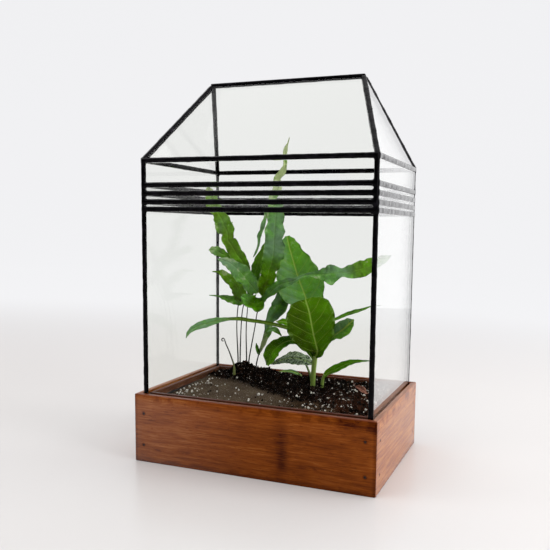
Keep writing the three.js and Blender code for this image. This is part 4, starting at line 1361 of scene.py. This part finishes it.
class PlantMesh:
    """Gathers stalks and blades into one mesh with two finishes, their UV maps and tones."""

    def __init__(self):
        self.points, self.faces, self.slots = [], [], []
        self.flat, self.share, self.tones = [], [], []

    def add_ring_skin(self, rings, slot, closed_caps):
        """Skins rings of (point, flat, share, tone), all the same length, and closes their ends."""
        first = len(self.points)
        around = len(rings[0])
        for point, flat, share, tone in (corner for ring in rings for corner in ring):
            self.points.append(point * MM)
            self.flat.append(flat)
            self.share.append(share)
            self.tones.append(tone)
        last = first + (len(rings) - 1) * around
        for row in range(first, last, around):
            for step in range(around):
                here, beside = row + step, row + (step + 1) % around
                self.faces.append((here, beside, beside + around, here + around))
        self.faces += closed_caps(first, last, around)
        self.slots += [slot] * (len(self.faces) - len(self.slots))

    def add_stalk(self, stalk, slimness):
        spine = Spine(stalk.points)
        rings = []
        for fraction, centre, along, walked in spine.walk(STALK_ROWS):
            out = along.cross(Vector((1, 0, 0))).normalized()
            across = out.cross(along)
            radius = slimness * spine.size(fraction) * (1 + 0.05 * noise.noise(centre * 0.4))
            tone = (*tone_at(stalk.tones, fraction), 1.0)
            ring = []
            for step in range(STALK_SIDES):
                angle = 2 * math.pi * step / STALK_SIDES
                point = centre + across * (radius * math.cos(angle)) + out * (radius * math.sin(angle))
                ring.append((point, (angle * radius * MM, walked * MM), (step / STALK_SIDES, fraction), tone))
            rings.append(ring)

        def caps(first, last, around):
            return [tuple(range(first + around - 1, first - 1, -1)), tuple(range(last, last + around))]

        self.add_ring_skin(rings, 1, caps)

    def add_blade(self, blade):
        """Skins a blade: both sides from margin to margin, wavy, folded, crinkled, with a midrib."""
        towards = Vector(blade.facing)
        crinkle = blade.crinkle
        seed = Vector((blade.points[0][0] * 0.13, blade.points[0][2] * 0.17, 3.1))
        spine = Spine(blade.points)
        rings = []
        for fraction, centre, along, walked in spine.walk(BLADE_ROWS):
            across = along.cross(towards).normalized()
            up = across.cross(along).normalized()
            full = max(spine.size(fraction), LEAST_HALF_WIDTH)
            crinkled = min(full, CRINKLED_WIDTH)
            tone = tone_at(blade.tones, fraction)
            upper, lower = [], []
            for column in range(BLADE_COLUMNS + 1):
                side = 2 * column / BLADE_COLUMNS - 1
                on_right = side > 0
                edge = noise.noise(Vector((walked * EDGE_RATE, on_right, 0)) + seed)
                bay = noise.noise(Vector((walked * BAY_RATE, on_right, 8)) + seed)
                width = full * (1 + crinkle * (EDGE_SHARE * edge + BAY_SHARE * bay) * side * side)
                turn = 2 * math.pi * blade.ripples * fraction + (math.pi / 2 if on_right else 0)
                lift = full * (blade.fold * abs(side) + blade.wave * math.sin(turn) * side * side)
                small = math.sin(walked * CRINKLE_RATE + 2.2 * edge + (1.4 if on_right else 0))
                dent = noise.noise(Vector((walked * DENT_RATE, side * 1.4, 5)) + seed)
                lift += crinkle * CRINKLE_HEIGHT * crinkled * small * abs(side) ** 3
                lift += crinkle * DENT_HEIGHT * crinkled / CRINKLED_WIDTH * dent
                middle = centre + across * (side * width) + up * lift
                half = blade.thick * (0.5 - 0.22 * side * side) * min(1.0, full / 1.5)
                rib = min(full * RIB_SHARE, RIB_HEIGHT) * math.exp(-(side * full / RIB_WIDTH) ** 2)
                uv = (side * width * MM, walked * MM)
                share = (side / 2 + 0.5, fraction)
                shift = blade.right if side >= 0 else blade.left
                reach = min(1.0, abs(side) * 2.5)
                bluish, light, yellow = (min(1.0, max(0.0, t + s * reach)) for t, s in zip(tone, shift))
                over = (bluish, light, yellow, blade.ribbed)
                bluer, lighter = min(1.0, bluish + UNDER_BLUER), min(1.0, light + UNDER_LIGHTER)
                under = (bluer, lighter, yellow, blade.ribbed)
                upper.append((middle + up * (half - rib * 0.5), uv, share, over))
                lower.append((middle - up * (half + rib), uv, share, under))
            rings.append(upper + lower[::-1])

        def caps(first, last, around):
            closing = []
            for column in range(BLADE_COLUMNS):
                under = around - 1 - column
                closing.append((first + column, first + under, first + under - 1, first + column + 1))
                closing.append((last + column, last + column + 1, last + under - 1, last + under))
            return closing

        self.add_ring_skin(rings, 0, caps)

    def build(self, name):
        plant = mesh_object(name, self.points, self.faces)
        mesh = plant.data
        corners = [0] * len(mesh.loops)
        mesh.loops.foreach_get("vertex_index", corners)
        for layer_name, values in (("flat", self.flat), ("share", self.share)):
            layer = mesh.uv_layers.new(name=layer_name)
            layer.uv.foreach_set("vector", [value for corner in corners for value in values[corner]])
        tone = mesh.attributes.new("tone", "FLOAT_COLOR", "POINT")
        tone.data.foreach_set("color", [value for shade in self.tones for value in shade])
        return plant


def grow(name, slot, materials, growth, *nodes, slimness=1.0):
    """One plant of stalks and blades; its first finish is the blades', its second the stalks'."""
    plant_mesh = PlantMesh()
    for part in growth:
        if isinstance(part, Stalk):
            plant_mesh.add_stalk(part, slimness)
        else:
            plant_mesh.add_blade(part)
    plant = plant_mesh.build(name)
    dress(plant, slot, materials, *nodes)
    plant.data.polygons.foreach_set("material_index", plant_mesh.slots)
    smooth(plant, 70)


# A fallen leaf with its straw, which lies on the soil at the right.
DRY_LEAF = [
    Stalk([
        (66, 30, 60.5, 0.35), (65.5, 25, 65, 0.35), (65, 20, 70, 0.3),
    ], [(0, 0, 0.9, 0.2), (1, 0, 0.7, 0.1)]),
    Blade((-0.2, -0.6, 0.8), [
        (68.8, 16.5, 67.5, 0.8), (72.5, 14.5, 66.8, 2), (76.6, 12.5, 65.2, 2.6), (79.6, 13.5, 62.8, 1.8),
        (81.4, 17.6, 60.5, 0.5),
    ], fold=0.5, wave=0.2, ripples=1, crinkle=1.2, thick=0.4),
]

# The tones of the fern's stalks.
DULL_STALK = [(0, 0.3, 0.45, 0.15), (0.2, 0.5, 0.2, 0.0), (0.8, 0.35, 0.12, 0.0), (1, 0.2, 0.25, 0.1)]

# Each frond's name, its CAD node and what it grows.
# In the blades' tones, light is painted: high where a lobe is backlit, low where it is shaded.
FERN = [
    ("frond_main", "fern_frond_main", [
        Stalk([
            (-53, 36, 61, 0.9), (-53, 36, 77, 0.9), (-49, 34, 95, 0.8), (-44, 31, 114, 0.7),
            (-40, 28, 130, 0.7), (-34, 25, 145, 0.8), (-30, 24, 158, 0.6),
        ], DULL_STALK),
        Blade(TO_VIEWER, [
            (-32, 24.5, 147.5, 2.5), (-30.5, 24, 152, 7.3), (-28.5, 24, 160.5, 8), (-26.5, 24, 167, 7.7),
            (-25, 23, 174, 7.8), (-22.5, 23, 179.5, 9.3), (-20.5, 22, 187.5, 9.9), (-19.5, 22, 195, 9.9),
            (-19.5, 22, 203, 9.2), (-19, 22, 210.5, 9.4), (-18.5, 22, 218.5, 9.2), (-18, 22, 226, 8),
            (-18.5, 22, 235, 7.6), (-22, 23, 243.5, 4), (-17.5, 25, 254, 4.3), (-19, 27, 263, 3.6),
            (-13.5, 28, 270.5, 3.2), (-11.5, 29, 276.5, 1.9), (-12, 30, 290, 2.1), (-10, 32, 298, 0.6),
            (-9, 33, 303, 0.4),
        ], [
            (0, 0.0, 0.25, 0.1), (0.15, 0.0, 0.34, 0.15), (0.26, 0.08, 0.38, 0.1), (0.33, 0.55, 0.5, 0.0),
            (0.5, 0.6, 0.55, 0.0), (0.6, 0.45, 0.65, 0.1), (0.67, 0.1, 1.0, 0.2), (0.8, 0.0, 1.1, 0.2),
            (1, 0.0, 1.15, 0.1),
        ], fold=0.1, wave=0.2, ripples=5),
        Blade((0.5, -0.9, 0.1), [
            (-21, 21.5, 234, 1.2), (-26.5, 20, 229.5, 2), (-28.5, 20, 224.5, 1.7), (-30.5, 19, 217.5, 2.4),
            (-32, 19, 212.5, 1.6), (-34, 18, 207.5, 2.2), (-34, 18, 203, 1.4), (-34, 17, 198.5, 1.1),
            (-36.5, 17, 191.5, 1), (-39.5, 17, 186.5, 0.5),
        ], [(0, 0.6, 0.8, 0), (1, 0.5, 0.4, 0)], wave=0.3, ripples=3),
        Blade((0.2, -0.8, 0.6), [
            (-29.5, 26, 143.5, 1.5), (-32.5, 25, 142.5, 6.5), (-37.5, 22, 139.5, 8.4), (-42, 18, 141, 7.6),
            (-46, 15, 144.5, 6), (-50.5, 12.5, 147.5, 2),
        ], [(0, 0.0, 0.18, 0), (0.6, 0.0, 0.22, 0.05), (1, 0.35, 0.55, 0)], fold=0.2, wave=0.25, ripples=2),
        Blade(TO_VIEWER, [
            (-32.5, 24.5, 143.5, 2.5), (-20.5, 21, 154.3, 4.5), (-11.3, 18.3, 160.3, 4.5),
            (-2.3, 17.3, 163.2, 4), (5, 17, 165.7, 2.5), (10.5, 19, 169, 1.4), (18.5, 22, 171, 2.2),
            (26.5, 23, 171.5, 4), (32, 25, 171.5, 7.7), (37, 26, 172, 9.4), (43, 28, 173, 7.7),
            (49, 31, 173.5, 4.4), (56, 34, 174.5, 6.3), (63, 36, 176.5, 7.7), (70, 38, 179, 7.2),
            (77, 40, 183, 5.9), (85, 43, 187, 3.8), (93, 46, 191, 0.5),
        ], [
            (0, 0.1, 0.3, 0), (0.2, 0.5, 0.55, 0), (0.45, 0.35, 0.5, 0), (0.55, 0.5, 0.5, 0),
            (0.65, 0.6, 0.6, 0), (0.75, 0.1, 0.5, 0.2), (1, 0.1, 0.55, 0.2),
        ], fold=0.1, wave=0.2, ripples=6),
    ]),
    ("frond_tall_left", "fern_frond_tall_left", [
        Stalk([
            (-65, 40, 61, 0.9), (-65, 40, 80, 0.9), (-62, 36, 112, 0.7), (-59, 34, 133, 0.7),
            (-53, 33.5, 146, 0.8), (-50, 33.7, 156, 0.9),
        ], DULL_STALK),
        Blade((0.2, -0.75, 0.6), [
            (-40.5, 29, 149.5, 2), (-42.5, 29.5, 152, 5.8), (-48, 29, 158, 9), (-53.5, 28.5, 164.5, 8.6),
            (-59, 28.5, 170, 8.6), (-64, 28, 174.5, 7.5), (-70, 28, 178.5, 6.2), (-75.5, 28, 180.5, 5),
            (-80.5, 28, 182, 2.6), (-85, 28, 182.5, 0.5),
        ], [
            (0, 0.15, 0.45, 0.1), (0.4, 0.4, 0.64, 0.08), (0.7, 0.72, 0.95, 0), (1, 0.75, 1.0, 0),
        ], fold=0.15, wave=0.12, ripples=2),
        Blade((0.2, -0.8, 0.5), [
            (-60, 35, 173, 1.5), (-66, 34.5, 179.5, 2.2), (-72, 34, 183.5, 2.8), (-78, 34, 186, 3.6),
            (-84.5, 33.5, 188.5, 5.2), (-89.5, 33, 191, 5.6), (-93.5, 32.5, 191.5, 4),
            (-97.5, 32, 191.5, 0.6),
        ], [
            (0, 0.1, 0.4, 0.1), (0.6, 0.2, 0.6, 0.2), (0.8, 0.35, 0.9, 0.15), (1, 0.4, 1.05, 0.3),
        ], fold=0.15, wave=0.2, ripples=2),
        Blade(TO_VIEWER, [
            (-49, 33.5, 152, 2), (-51.5, 34, 160, 3.6), (-55, 34.5, 168.5, 4.3), (-58.5, 35, 177.5, 5.6),
            (-62.5, 36, 183, 6.2), (-67, 36, 187.5, 7), (-70, 36, 192.5, 7.6), (-73.5, 36, 197.5, 6.9),
            (-76.5, 35, 202, 6.2), (-76.5, 34.5, 207.5, 5.8), (-77.5, 34, 212, 8.2), (-80.5, 34, 216.5, 10),
            (-81.5, 33, 221, 9.2), (-84, 33, 225, 7.2), (-87, 33, 229.5, 5.7), (-92, 32, 236.5, 7),
            (-93.5, 31, 244.5, 6), (-96, 30, 251.5, 4), (-97.5, 30, 257, 0.5),
        ], [
            (0, 0.05, 0.3, 0.1), (0.3, 0.1, 0.4, 0.25), (0.5, 0.1, 0.5, 0.3), (0.62, 0.25, 0.6, 0.25),
            (0.8, 0.1, 0.5, 0.3), (1, 0.1, 0.8, 0.5),
        ], fold=0.1, wave=0.2, ripples=5),
    ]),
    ("frond_low_left", "fern_frond_low_left", [
        Stalk([
            (-69, 43, 61, 0.9), (-69, 43, 80, 0.9), (-69, 40, 112, 0.7), (-66, 37, 134, 0.7),
            (-62, 36, 142, 0.6),
        ], DULL_STALK),
        Blade((0.2, -0.8, 0.5), [
            (-57.5, 36.8, 138, 2.4), (-60.5, 36.8, 139.2, 4.9), (-67, 36, 140, 5), (-74.5, 35, 141.3, 4.1),
            (-81, 34, 142.8, 2.6), (-87, 33, 144, 1), (-97, 32, 144.5, 0.5),
        ], [(0, 0.1, 0.4, 0.1), (1, 0.3, 0.5, 0.1)], fold=0.15),
        Blade(TO_VIEWER, [
            (-62, 37.5, 137.5, 3), (-63, 37, 143.5, 6.2), (-64.5, 36.5, 149.5, 6.8), (-67.5, 36, 155.5, 6.4),
            (-73, 36, 160.5, 5.4), (-79.5, 36, 164.8, 4.8), (-84.5, 36, 168, 3.4), (-89, 35, 169, 1),
            (-95, 35, 169, 0.5),
        ], [(0, 0.1, 0.4, 0.25), (1, 0.1, 0.6, 0.3)], fold=0.15),
    ]),
    ("frond_behind", "fern_frond_behind", [
        Stalk([(-60, 45, 61, 0.9), (-60, 45, 80, 0.9), (-60, 44, 112, 0.7), (-57, 43, 143, 0.6)], DULL_STALK),
        Blade(TO_VIEWER, [
            (-57, 43, 141, 2), (-52.5, 43, 155, 5), (-48.5, 43, 171, 5.9), (-44, 42, 181.5, 5.5),
            (-38, 41, 194, 3.8), (-32, 41, 206, 0.6),
        ], [(0, 0.05, 0.3, 0.1), (1, 0.1, 0.5, 0.2)], fold=0.15, wave=0.15, ripples=2),
    ]),
    ("frond_small", "fern_frond_small", [
        Stalk([
            (-43, 33, 61, 0.9), (-43, 33, 75, 0.9), (-39, 31.5, 89, 0.8), (-34, 30, 105, 0.7),
            (-30, 28, 118, 0.6),
        ], DULL_STALK),
        Blade((0.1, -0.9, -0.2), [
            (-31, 28, 112, 1), (-27, 28.5, 121.5, 4), (-21, 29.5, 131, 7), (-15.5, 30, 140, 8.2),
            (-12, 30.5, 148, 7), (-10, 31, 154, 3.5), (-9, 31, 157.5, 0.8),
        ], [
            (0, 0.6, 0.75, 0), (0.3, 0.25, 0.35, 0), (0.6, 0.0, 0.12, 0), (1, 0.0, 0.15, 0),
        ], fold=0.2, wave=0.12, ripples=2, left=(0.45, 0.25, 0), right=(0, -0.1, 0)),
        Blade((0, -0.85, 0.5), [
            (-32.5, 29.5, 110, 1), (-24.5, 25, 114, 2.8), (-17.5, 24, 114, 2.8), (-11, 23, 109, 0.6),
        ], [(0, 0.5, 0.9, 0.1), (0.6, 0.3, 0.8, 0.1), (1, 0.0, 0.2, 0.1)], fold=0.2),
        Blade(TO_VIEWER, [
            (-39, 31.5, 86, 0.8), (-38.5, 28, 90, 1.8), (-39.5, 27, 94.5, 1.6), (-40, 26, 99, 0.5),
        ], [(0, 0.1, 0.25, 0), (1, 0.1, 0.3, 0)], fold=0.2),
        Blade(TO_VIEWER, [
            (-39, 31.5, 88, 0.9), (-35.5, 29, 94, 1.7), (-32, 28, 101, 2.6), (-28.8, 27, 108, 3.4),
            (-25.5, 26, 113.5, 3), (-23, 26, 118, 1),
        ], [(0, 0.1, 0.9, 0.2), (0.5, 0.2, 1.05, 0.2), (1, 0.2, 1.05, 0.2)], fold=0.2, wave=0.15, ripples=2),
    ]),
    ("frond_young", "fern_young_frond", [
        Stalk([
            (-63.6, 24, 50, 2.1), (-63.6, 24, 62, 2), (-63.7, 24, 68, 1.7), (-64.2, 24, 75, 1.1),
            (-66.9, 24, 82.4, 0.9), (-70.2, 24, 90, 0.8), (-73, 24, 95.5, 0.75), (-74.5, 24, 99.2, 0.7),
            (-75.3, 24, 101.1, 0.7), (-76.8, 24, 101.8, 0.7), (-78.1, 24, 100.6, 0.7),
            (-77.8, 24.3, 99, 0.65), (-76.4, 24.6, 98.7, 0.6),
        ], [(0, 0.0, 0.8, 0.6), (0.22, 0.0, 0.75, 0.5), (0.36, 0.6, 0.15, 0.05), (1, 0.8, 0.0, 0)]),
    ]),
]

# Each leafy piece's name, its CAD node, its finish and what it grows.
# In the blades' tones, light is painted light and shade; the leaf at the back is darkened for the shade
# behind the heap.
LEAFY_PLANTS = [
    ("broad_leaved_plant", "leafy_stem", "broad_leaf", [
        Stalk([
            (24, 20, 50, 2.6), (24, 20, 68, 2.5), (25, 19, 80, 2.5), (26.5, 17, 92, 2.7), (25, 17, 103, 1.6),
            (22.5, 19, 117, 1.2),
        ], [(0, 0, 0.7, 0.35), (0.3, 0, 0.75, 0.45), (0.55, 0, 0.75, 0.5), (1, 0, 0.5, 0.1)]),
        Blade(TO_VIEWER, [
            (26.5, 16.5, 91, 1.7), (31.5, 11, 98, 5.6), (32, 5, 107, 14.5), (31.2, 0, 117, 20.3),
            (30.5, -4, 127.5, 22.9), (29.5, -6, 136, 22.9), (27.8, -6.5, 142.5, 20.6), (25.8, -6, 147.5, 16),
            (24.8, -5.5, 150, 8.8),
        ], [
            (0, 0, 0.5, 0.1), (0.4, 0, 0.42, 0.1), (1, 0, 0.48, 0.12),
        ], fold=0.12, crinkle=0.35, left=(0, -0.36, 0), right=(0, -0.05, 0)),
        Blade(TO_VIEWER, [
            (22.5, 19, 114, 1.2), (22, 20.5, 125, 1.8), (18.5, 24, 135, 8), (14, 28, 143.5, 16),
            (8.5, 31, 154, 22.2), (1.5, 34, 167.5, 21.8), (-3.5, 35, 181, 17), (-8, 36, 194, 11),
            (-10.8, 37, 202.5, 7), (-12, 37.5, 207.5, 2.5),
        ], [
            (0, 0.1, 0.62, 0.1), (0.4, 0.22, 0.63, 0.08), (0.7, 0.15, 0.63, 0.1), (1, 0.2, 0.63, 0.1),
        ], fold=0.12, crinkle=0.35, left=(0.35, 0.05, 0)),
        Blade(UPWARD, [
            (24, 18, 109, 1.2), (32.5, 20, 120, 1.5), (41, 21, 126.5, 1.9), (48.5, 23, 130.5, 2.3),
            (55.5, 26, 134, 2.9), (62.5, 28, 136.5, 3), (70, 31, 139, 1.9), (77, 33, 142, 0.9),
            (86.5, 35, 143.5, 0.5),
        ], [(0, 0.0, 0.35, 0.05), (1, 0.1, 0.4, 0.05)], fold=0.2, crinkle=0.4, ribbed=0.2),
        Blade((0.3, -0.9, 0.4), [
            (26.5, 16.5, 91, 1.3), (35, 14, 102, 1.8), (42, 12, 110, 2.6), (48, 11, 115.5, 4.4),
            (54, 10, 119.5, 7.4), (59.5, 9, 124, 7.8), (64.5, 9, 129, 5.2), (67.5, 9, 132, 0.8),
        ], [
            (0, 0.1, 0.4, 0), (1, 0.1, 0.4, 0.05),
        ], fold=0.5, crinkle=0.3, left=(0.35, -0.1, 0), right=(0, 0.1, 0.05)),
        Blade((0, -0.75, 0.65), [
            (25.5, 17, 100, 1.3), (13.5, 13, 114, 1.8), (0, 10, 119.5, 2), (-14.5, 8, 122.5, 2),
            (-27, 7, 124, 2), (-37.5, 5, 125, 2), (-47.5, 4, 126, 2.1), (-57.5, 2, 125.5, 1.9),
            (-64.5, -1, 124.5, 2.7), (-71, -3, 123, 4.2), (-78.5, -4, 120.5, 5), (-86.5, -6, 118, 4.7),
            (-93.5, -7, 114.5, 3.6), (-98, -8, 110.5, 2.3), (-101, -8, 105, 0.5),
        ], [
            (0, 0, 0.05, 0.1), (0.45, 0.05, 0.1, 0.2), (0.6, 0.55, 0.48, 0.05), (1, 0.9, 0.6, 0),
        ], fold=0.2, crinkle=0.3, ribbed=0.25),
        Blade((0.1, -0.7, 0.7), [
            (26.5, 17, 88, 1.3), (23, 10, 98, 2.6), (19.5, 6, 104.5, 4), (14, 3, 108.5, 4.6),
            (7, 0, 109, 5.2), (0.5, -3, 106, 7), (-6, -5, 100.5, 8.6), (-10, -6, 93.5, 7.6),
            (-13, -6, 84.5, 1.6),
        ], [
            (0, 0, 0.25, 0.05), (0.3, 0, -0.02, 0.0), (0.6, 0, 0.0, 0.0), (0.8, 0.0, 0.4, 0.08),
            (1, 0.05, 0.45, 0.1),
        ], fold=0.25, crinkle=0.4, ribbed=0.2, left=(0, 0.08, 0), right=(0, -0.2, 0)),
        Blade(UPWARD, [
            (24, 18, 105, 1), (9.5, 21, 116.5, 3), (-3, 23, 122, 4.8), (-11, 24, 123, 4.4),
            (-18, 25, 122.5, 0.8),
        ], [(0, 0, 0.5, 0.1), (1, 0, 0.6, 0.15)], fold=0.2, crinkle=0.4),
    ]),
    ("low_leaf", "leaf_low_right", "broad_leaf", [
        Stalk([
            (34.5, 18, 52, 1.7), (34.5, 18, 68, 1.6), (36.5, 18, 75, 1.4),
        ], [(0, 0, 0.7, 0.35), (1, 0, 0.6, 0.3)]),
        Blade((-0.1, -0.6, 0.8), [
            (35.5, 18, 72, 1.8), (39.5, 19, 77, 3.8), (46, 21, 80.5, 5.2), (52.5, 23, 84, 5),
            (59, 26, 87, 3.8), (66, 28, 88.7, 2.2), (72.5, 30, 89.3, 1.2), (79.5, 31, 90, 0.5),
        ], [
            (0, 0, 0.6, 0.3), (0.25, 0, 0.3, 0.05), (0.8, 0.0, 0.25, 0.0), (1, 0.5, 0.25, 0.0),
        ], fold=0.2, crinkle=0.3, ribbed=0.15),
    ]),
    ("speckled_leaf", "leaf_speckled", "grey_leaf", [
        Stalk([
            (20.5, 25, 50, 1.4), (20.5, 25, 67, 1.3), (17, 25, 77, 1.1), (13, 25.3, 84.8, 1),
        ], [(0, 0.1, 0.6, 0.3), (1, 0.4, 0.5, 0.1)]),
        Blade((0, -0.7, 0.7), [
            (20.5, 26, 82.5, 1.2), (16.5, 26, 84.5, 4.6), (11, 26, 86, 6.5), (3, 27, 87, 7.4),
            (-5, 29, 86, 7), (-13.5, 31, 83, 4.6), (-20.5, 32, 80, 2.8), (-27, 33, 77.5, 0.8),
        ], [
            (0, 0.1, 0.5, 0), (0.6, 0.1, 0.5, 0), (0.8, 0, 0.2, 0), (1, 0, 0.15, 0),
        ], fold=0.1, wave=0.08, ripples=2, crinkle=0.6, left=(0.1, -0.05, 0), right=(0.05, 0.3, 0)),
    ]),
    ("back_leaf", "leaf_at_back", "broad_leaf", [
        Stalk([
            (2, 45, 52, 1), (2, 45, 64.5, 1), (-1, 46, 67, 0.8),
        ], [(0, 0.2, 0.5, 0.1), (1, 0.2, 0.5, 0.1)]),
        Blade((0, -0.5, 0.85), [
            (0.5, 45.5, 66, 0.9), (-4, 47, 67, 2.2), (-11, 49, 68, 2.6), (-18.5, 51, 67, 2),
            (-25.5, 52, 66, 0.6),
        ], [(0, 0.3, 0.2, 0), (1, 0.35, 0.15, 0)], fold=0.2, crinkle=0.4),
    ]),
]


class TERRARIUM_OT_fern(Operator):
    """Grows the fern: blue-green, wavy-lobed fronds on thin dark stalks"""

    bl_idname = "terrarium.fern"
    bl_label = "Fern"
    bl_options = UNDOABLE

    def execute(self, context):
        settings = context.scene.terrarium_planting
        skin = leaf_skin(
            "fern frond", settings.fern_green, vein_gap=4.6 * MM, vein_slope=0.55, veins=0.07, rib=0.08,
            shine=0.5, uneven=1.0, quilting=0.12,
        )
        stalk = stalk_skin("fern stalk", tint(44, 42, 34))
        for name, node, growth in FERN:
            grow(name, "fern_leaf", [skin, stalk], growth, node, slimness=FERN_SLIMNESS)
        return {"FINISHED"}


class TERRARIUM_OT_leafy_plants(Operator):
    """Grows the broad-leaved plant, the low leaf, the speckled leaf and the leaf at the back"""

    bl_idname = "terrarium.leafy_plants"
    bl_label = "Broad-leaved plants"
    bl_options = UNDOABLE

    def execute(self, context):
        settings = context.scene.terrarium_planting
        skins = {
            "broad_leaf": leaf_skin(
                "broad leaf", settings.leaf_green, vein_gap=10.5 * MM, vein_slope=0.75, veins=0.5, rib=0.8,
                shine=0.4,
            ),
            "grey_leaf": leaf_skin(
                "grey leaf", settings.grey_leaf, vein_gap=6 * MM, vein_slope=0.8, veins=0.3, rib=0.4,
                shine=0.6, speckled=True,
            ),
        }
        stalk = stalk_skin("leaf stalk", tint(96, 134, 40))
        for name, node, slot, growth in LEAFY_PLANTS:
            grow(name, slot, [skins[slot], stalk], growth, node)
        return {"FINISHED"}


# ------------------------------------------------------------------ panel
class TERRARIUM_PT_sidebar(Panel):
    """Lists the steps and their settings"""

    bl_idname = "TERRARIUM_PT_sidebar"
    bl_label = "Glass plant terrarium"
    bl_space_type = "VIEW_3D"
    bl_region_type = "UI"
    bl_category = "Terrarium"

    def draw(self, context):
        for name, (kind, steps) in SETTINGS.items():
            box = self.layout.box()
            for setting in kind.__annotations__:
                box.prop(getattr(context.scene, name), setting)
            for step in steps:
                box.operator(step)


# Each group of settings, by its name on the scene, and the steps that use it.
SETTINGS = {
    "terrarium_studio": (StudioSettings, ("terrarium.studio",)),
    "terrarium_box": (BoxSettings, ("terrarium.box", "terrarium.nails", "terrarium.liner")),
    "terrarium_house": (HouseSettings, ("terrarium.solder", "terrarium.glass")),
    "terrarium_planting": (PlantingSettings, (
        "terrarium.soil", "terrarium.grains", "terrarium.fern", "terrarium.leafy_plants",
    )),
}

CLASSES = (
    StudioSettings,
    BoxSettings,
    HouseSettings,
    PlantingSettings,
    TERRARIUM_OT_studio,
    TERRARIUM_OT_box,
    TERRARIUM_OT_nails,
    TERRARIUM_OT_liner,
    TERRARIUM_OT_solder,
    TERRARIUM_OT_glass,
    TERRARIUM_OT_soil,
    TERRARIUM_OT_grains,
    TERRARIUM_OT_fern,
    TERRARIUM_OT_leafy_plants,
    TERRARIUM_PT_sidebar,
)


def register():
    for made in CLASSES:
        bpy.utils.register_class(made)
    for name, (kind, _) in SETTINGS.items():
        setattr(bpy.types.Scene, name, PointerProperty(type=kind))


def unregister():
    for name in SETTINGS:
        delattr(bpy.types.Scene, name)
    for made in reversed(CLASSES):
        bpy.utils.unregister_class(made)


def main():
    register()
    bpy.ops.terrarium.studio()
    bpy.ops.terrarium.box()
    bpy.ops.terrarium.nails()
    bpy.ops.terrarium.liner()
    bpy.ops.terrarium.solder()
    bpy.ops.terrarium.glass()
    bpy.ops.terrarium.soil()
    bpy.ops.terrarium.grains()
    bpy.ops.terrarium.fern()
    bpy.ops.terrarium.leafy_plants()


if __name__ == "__main__":
    main()
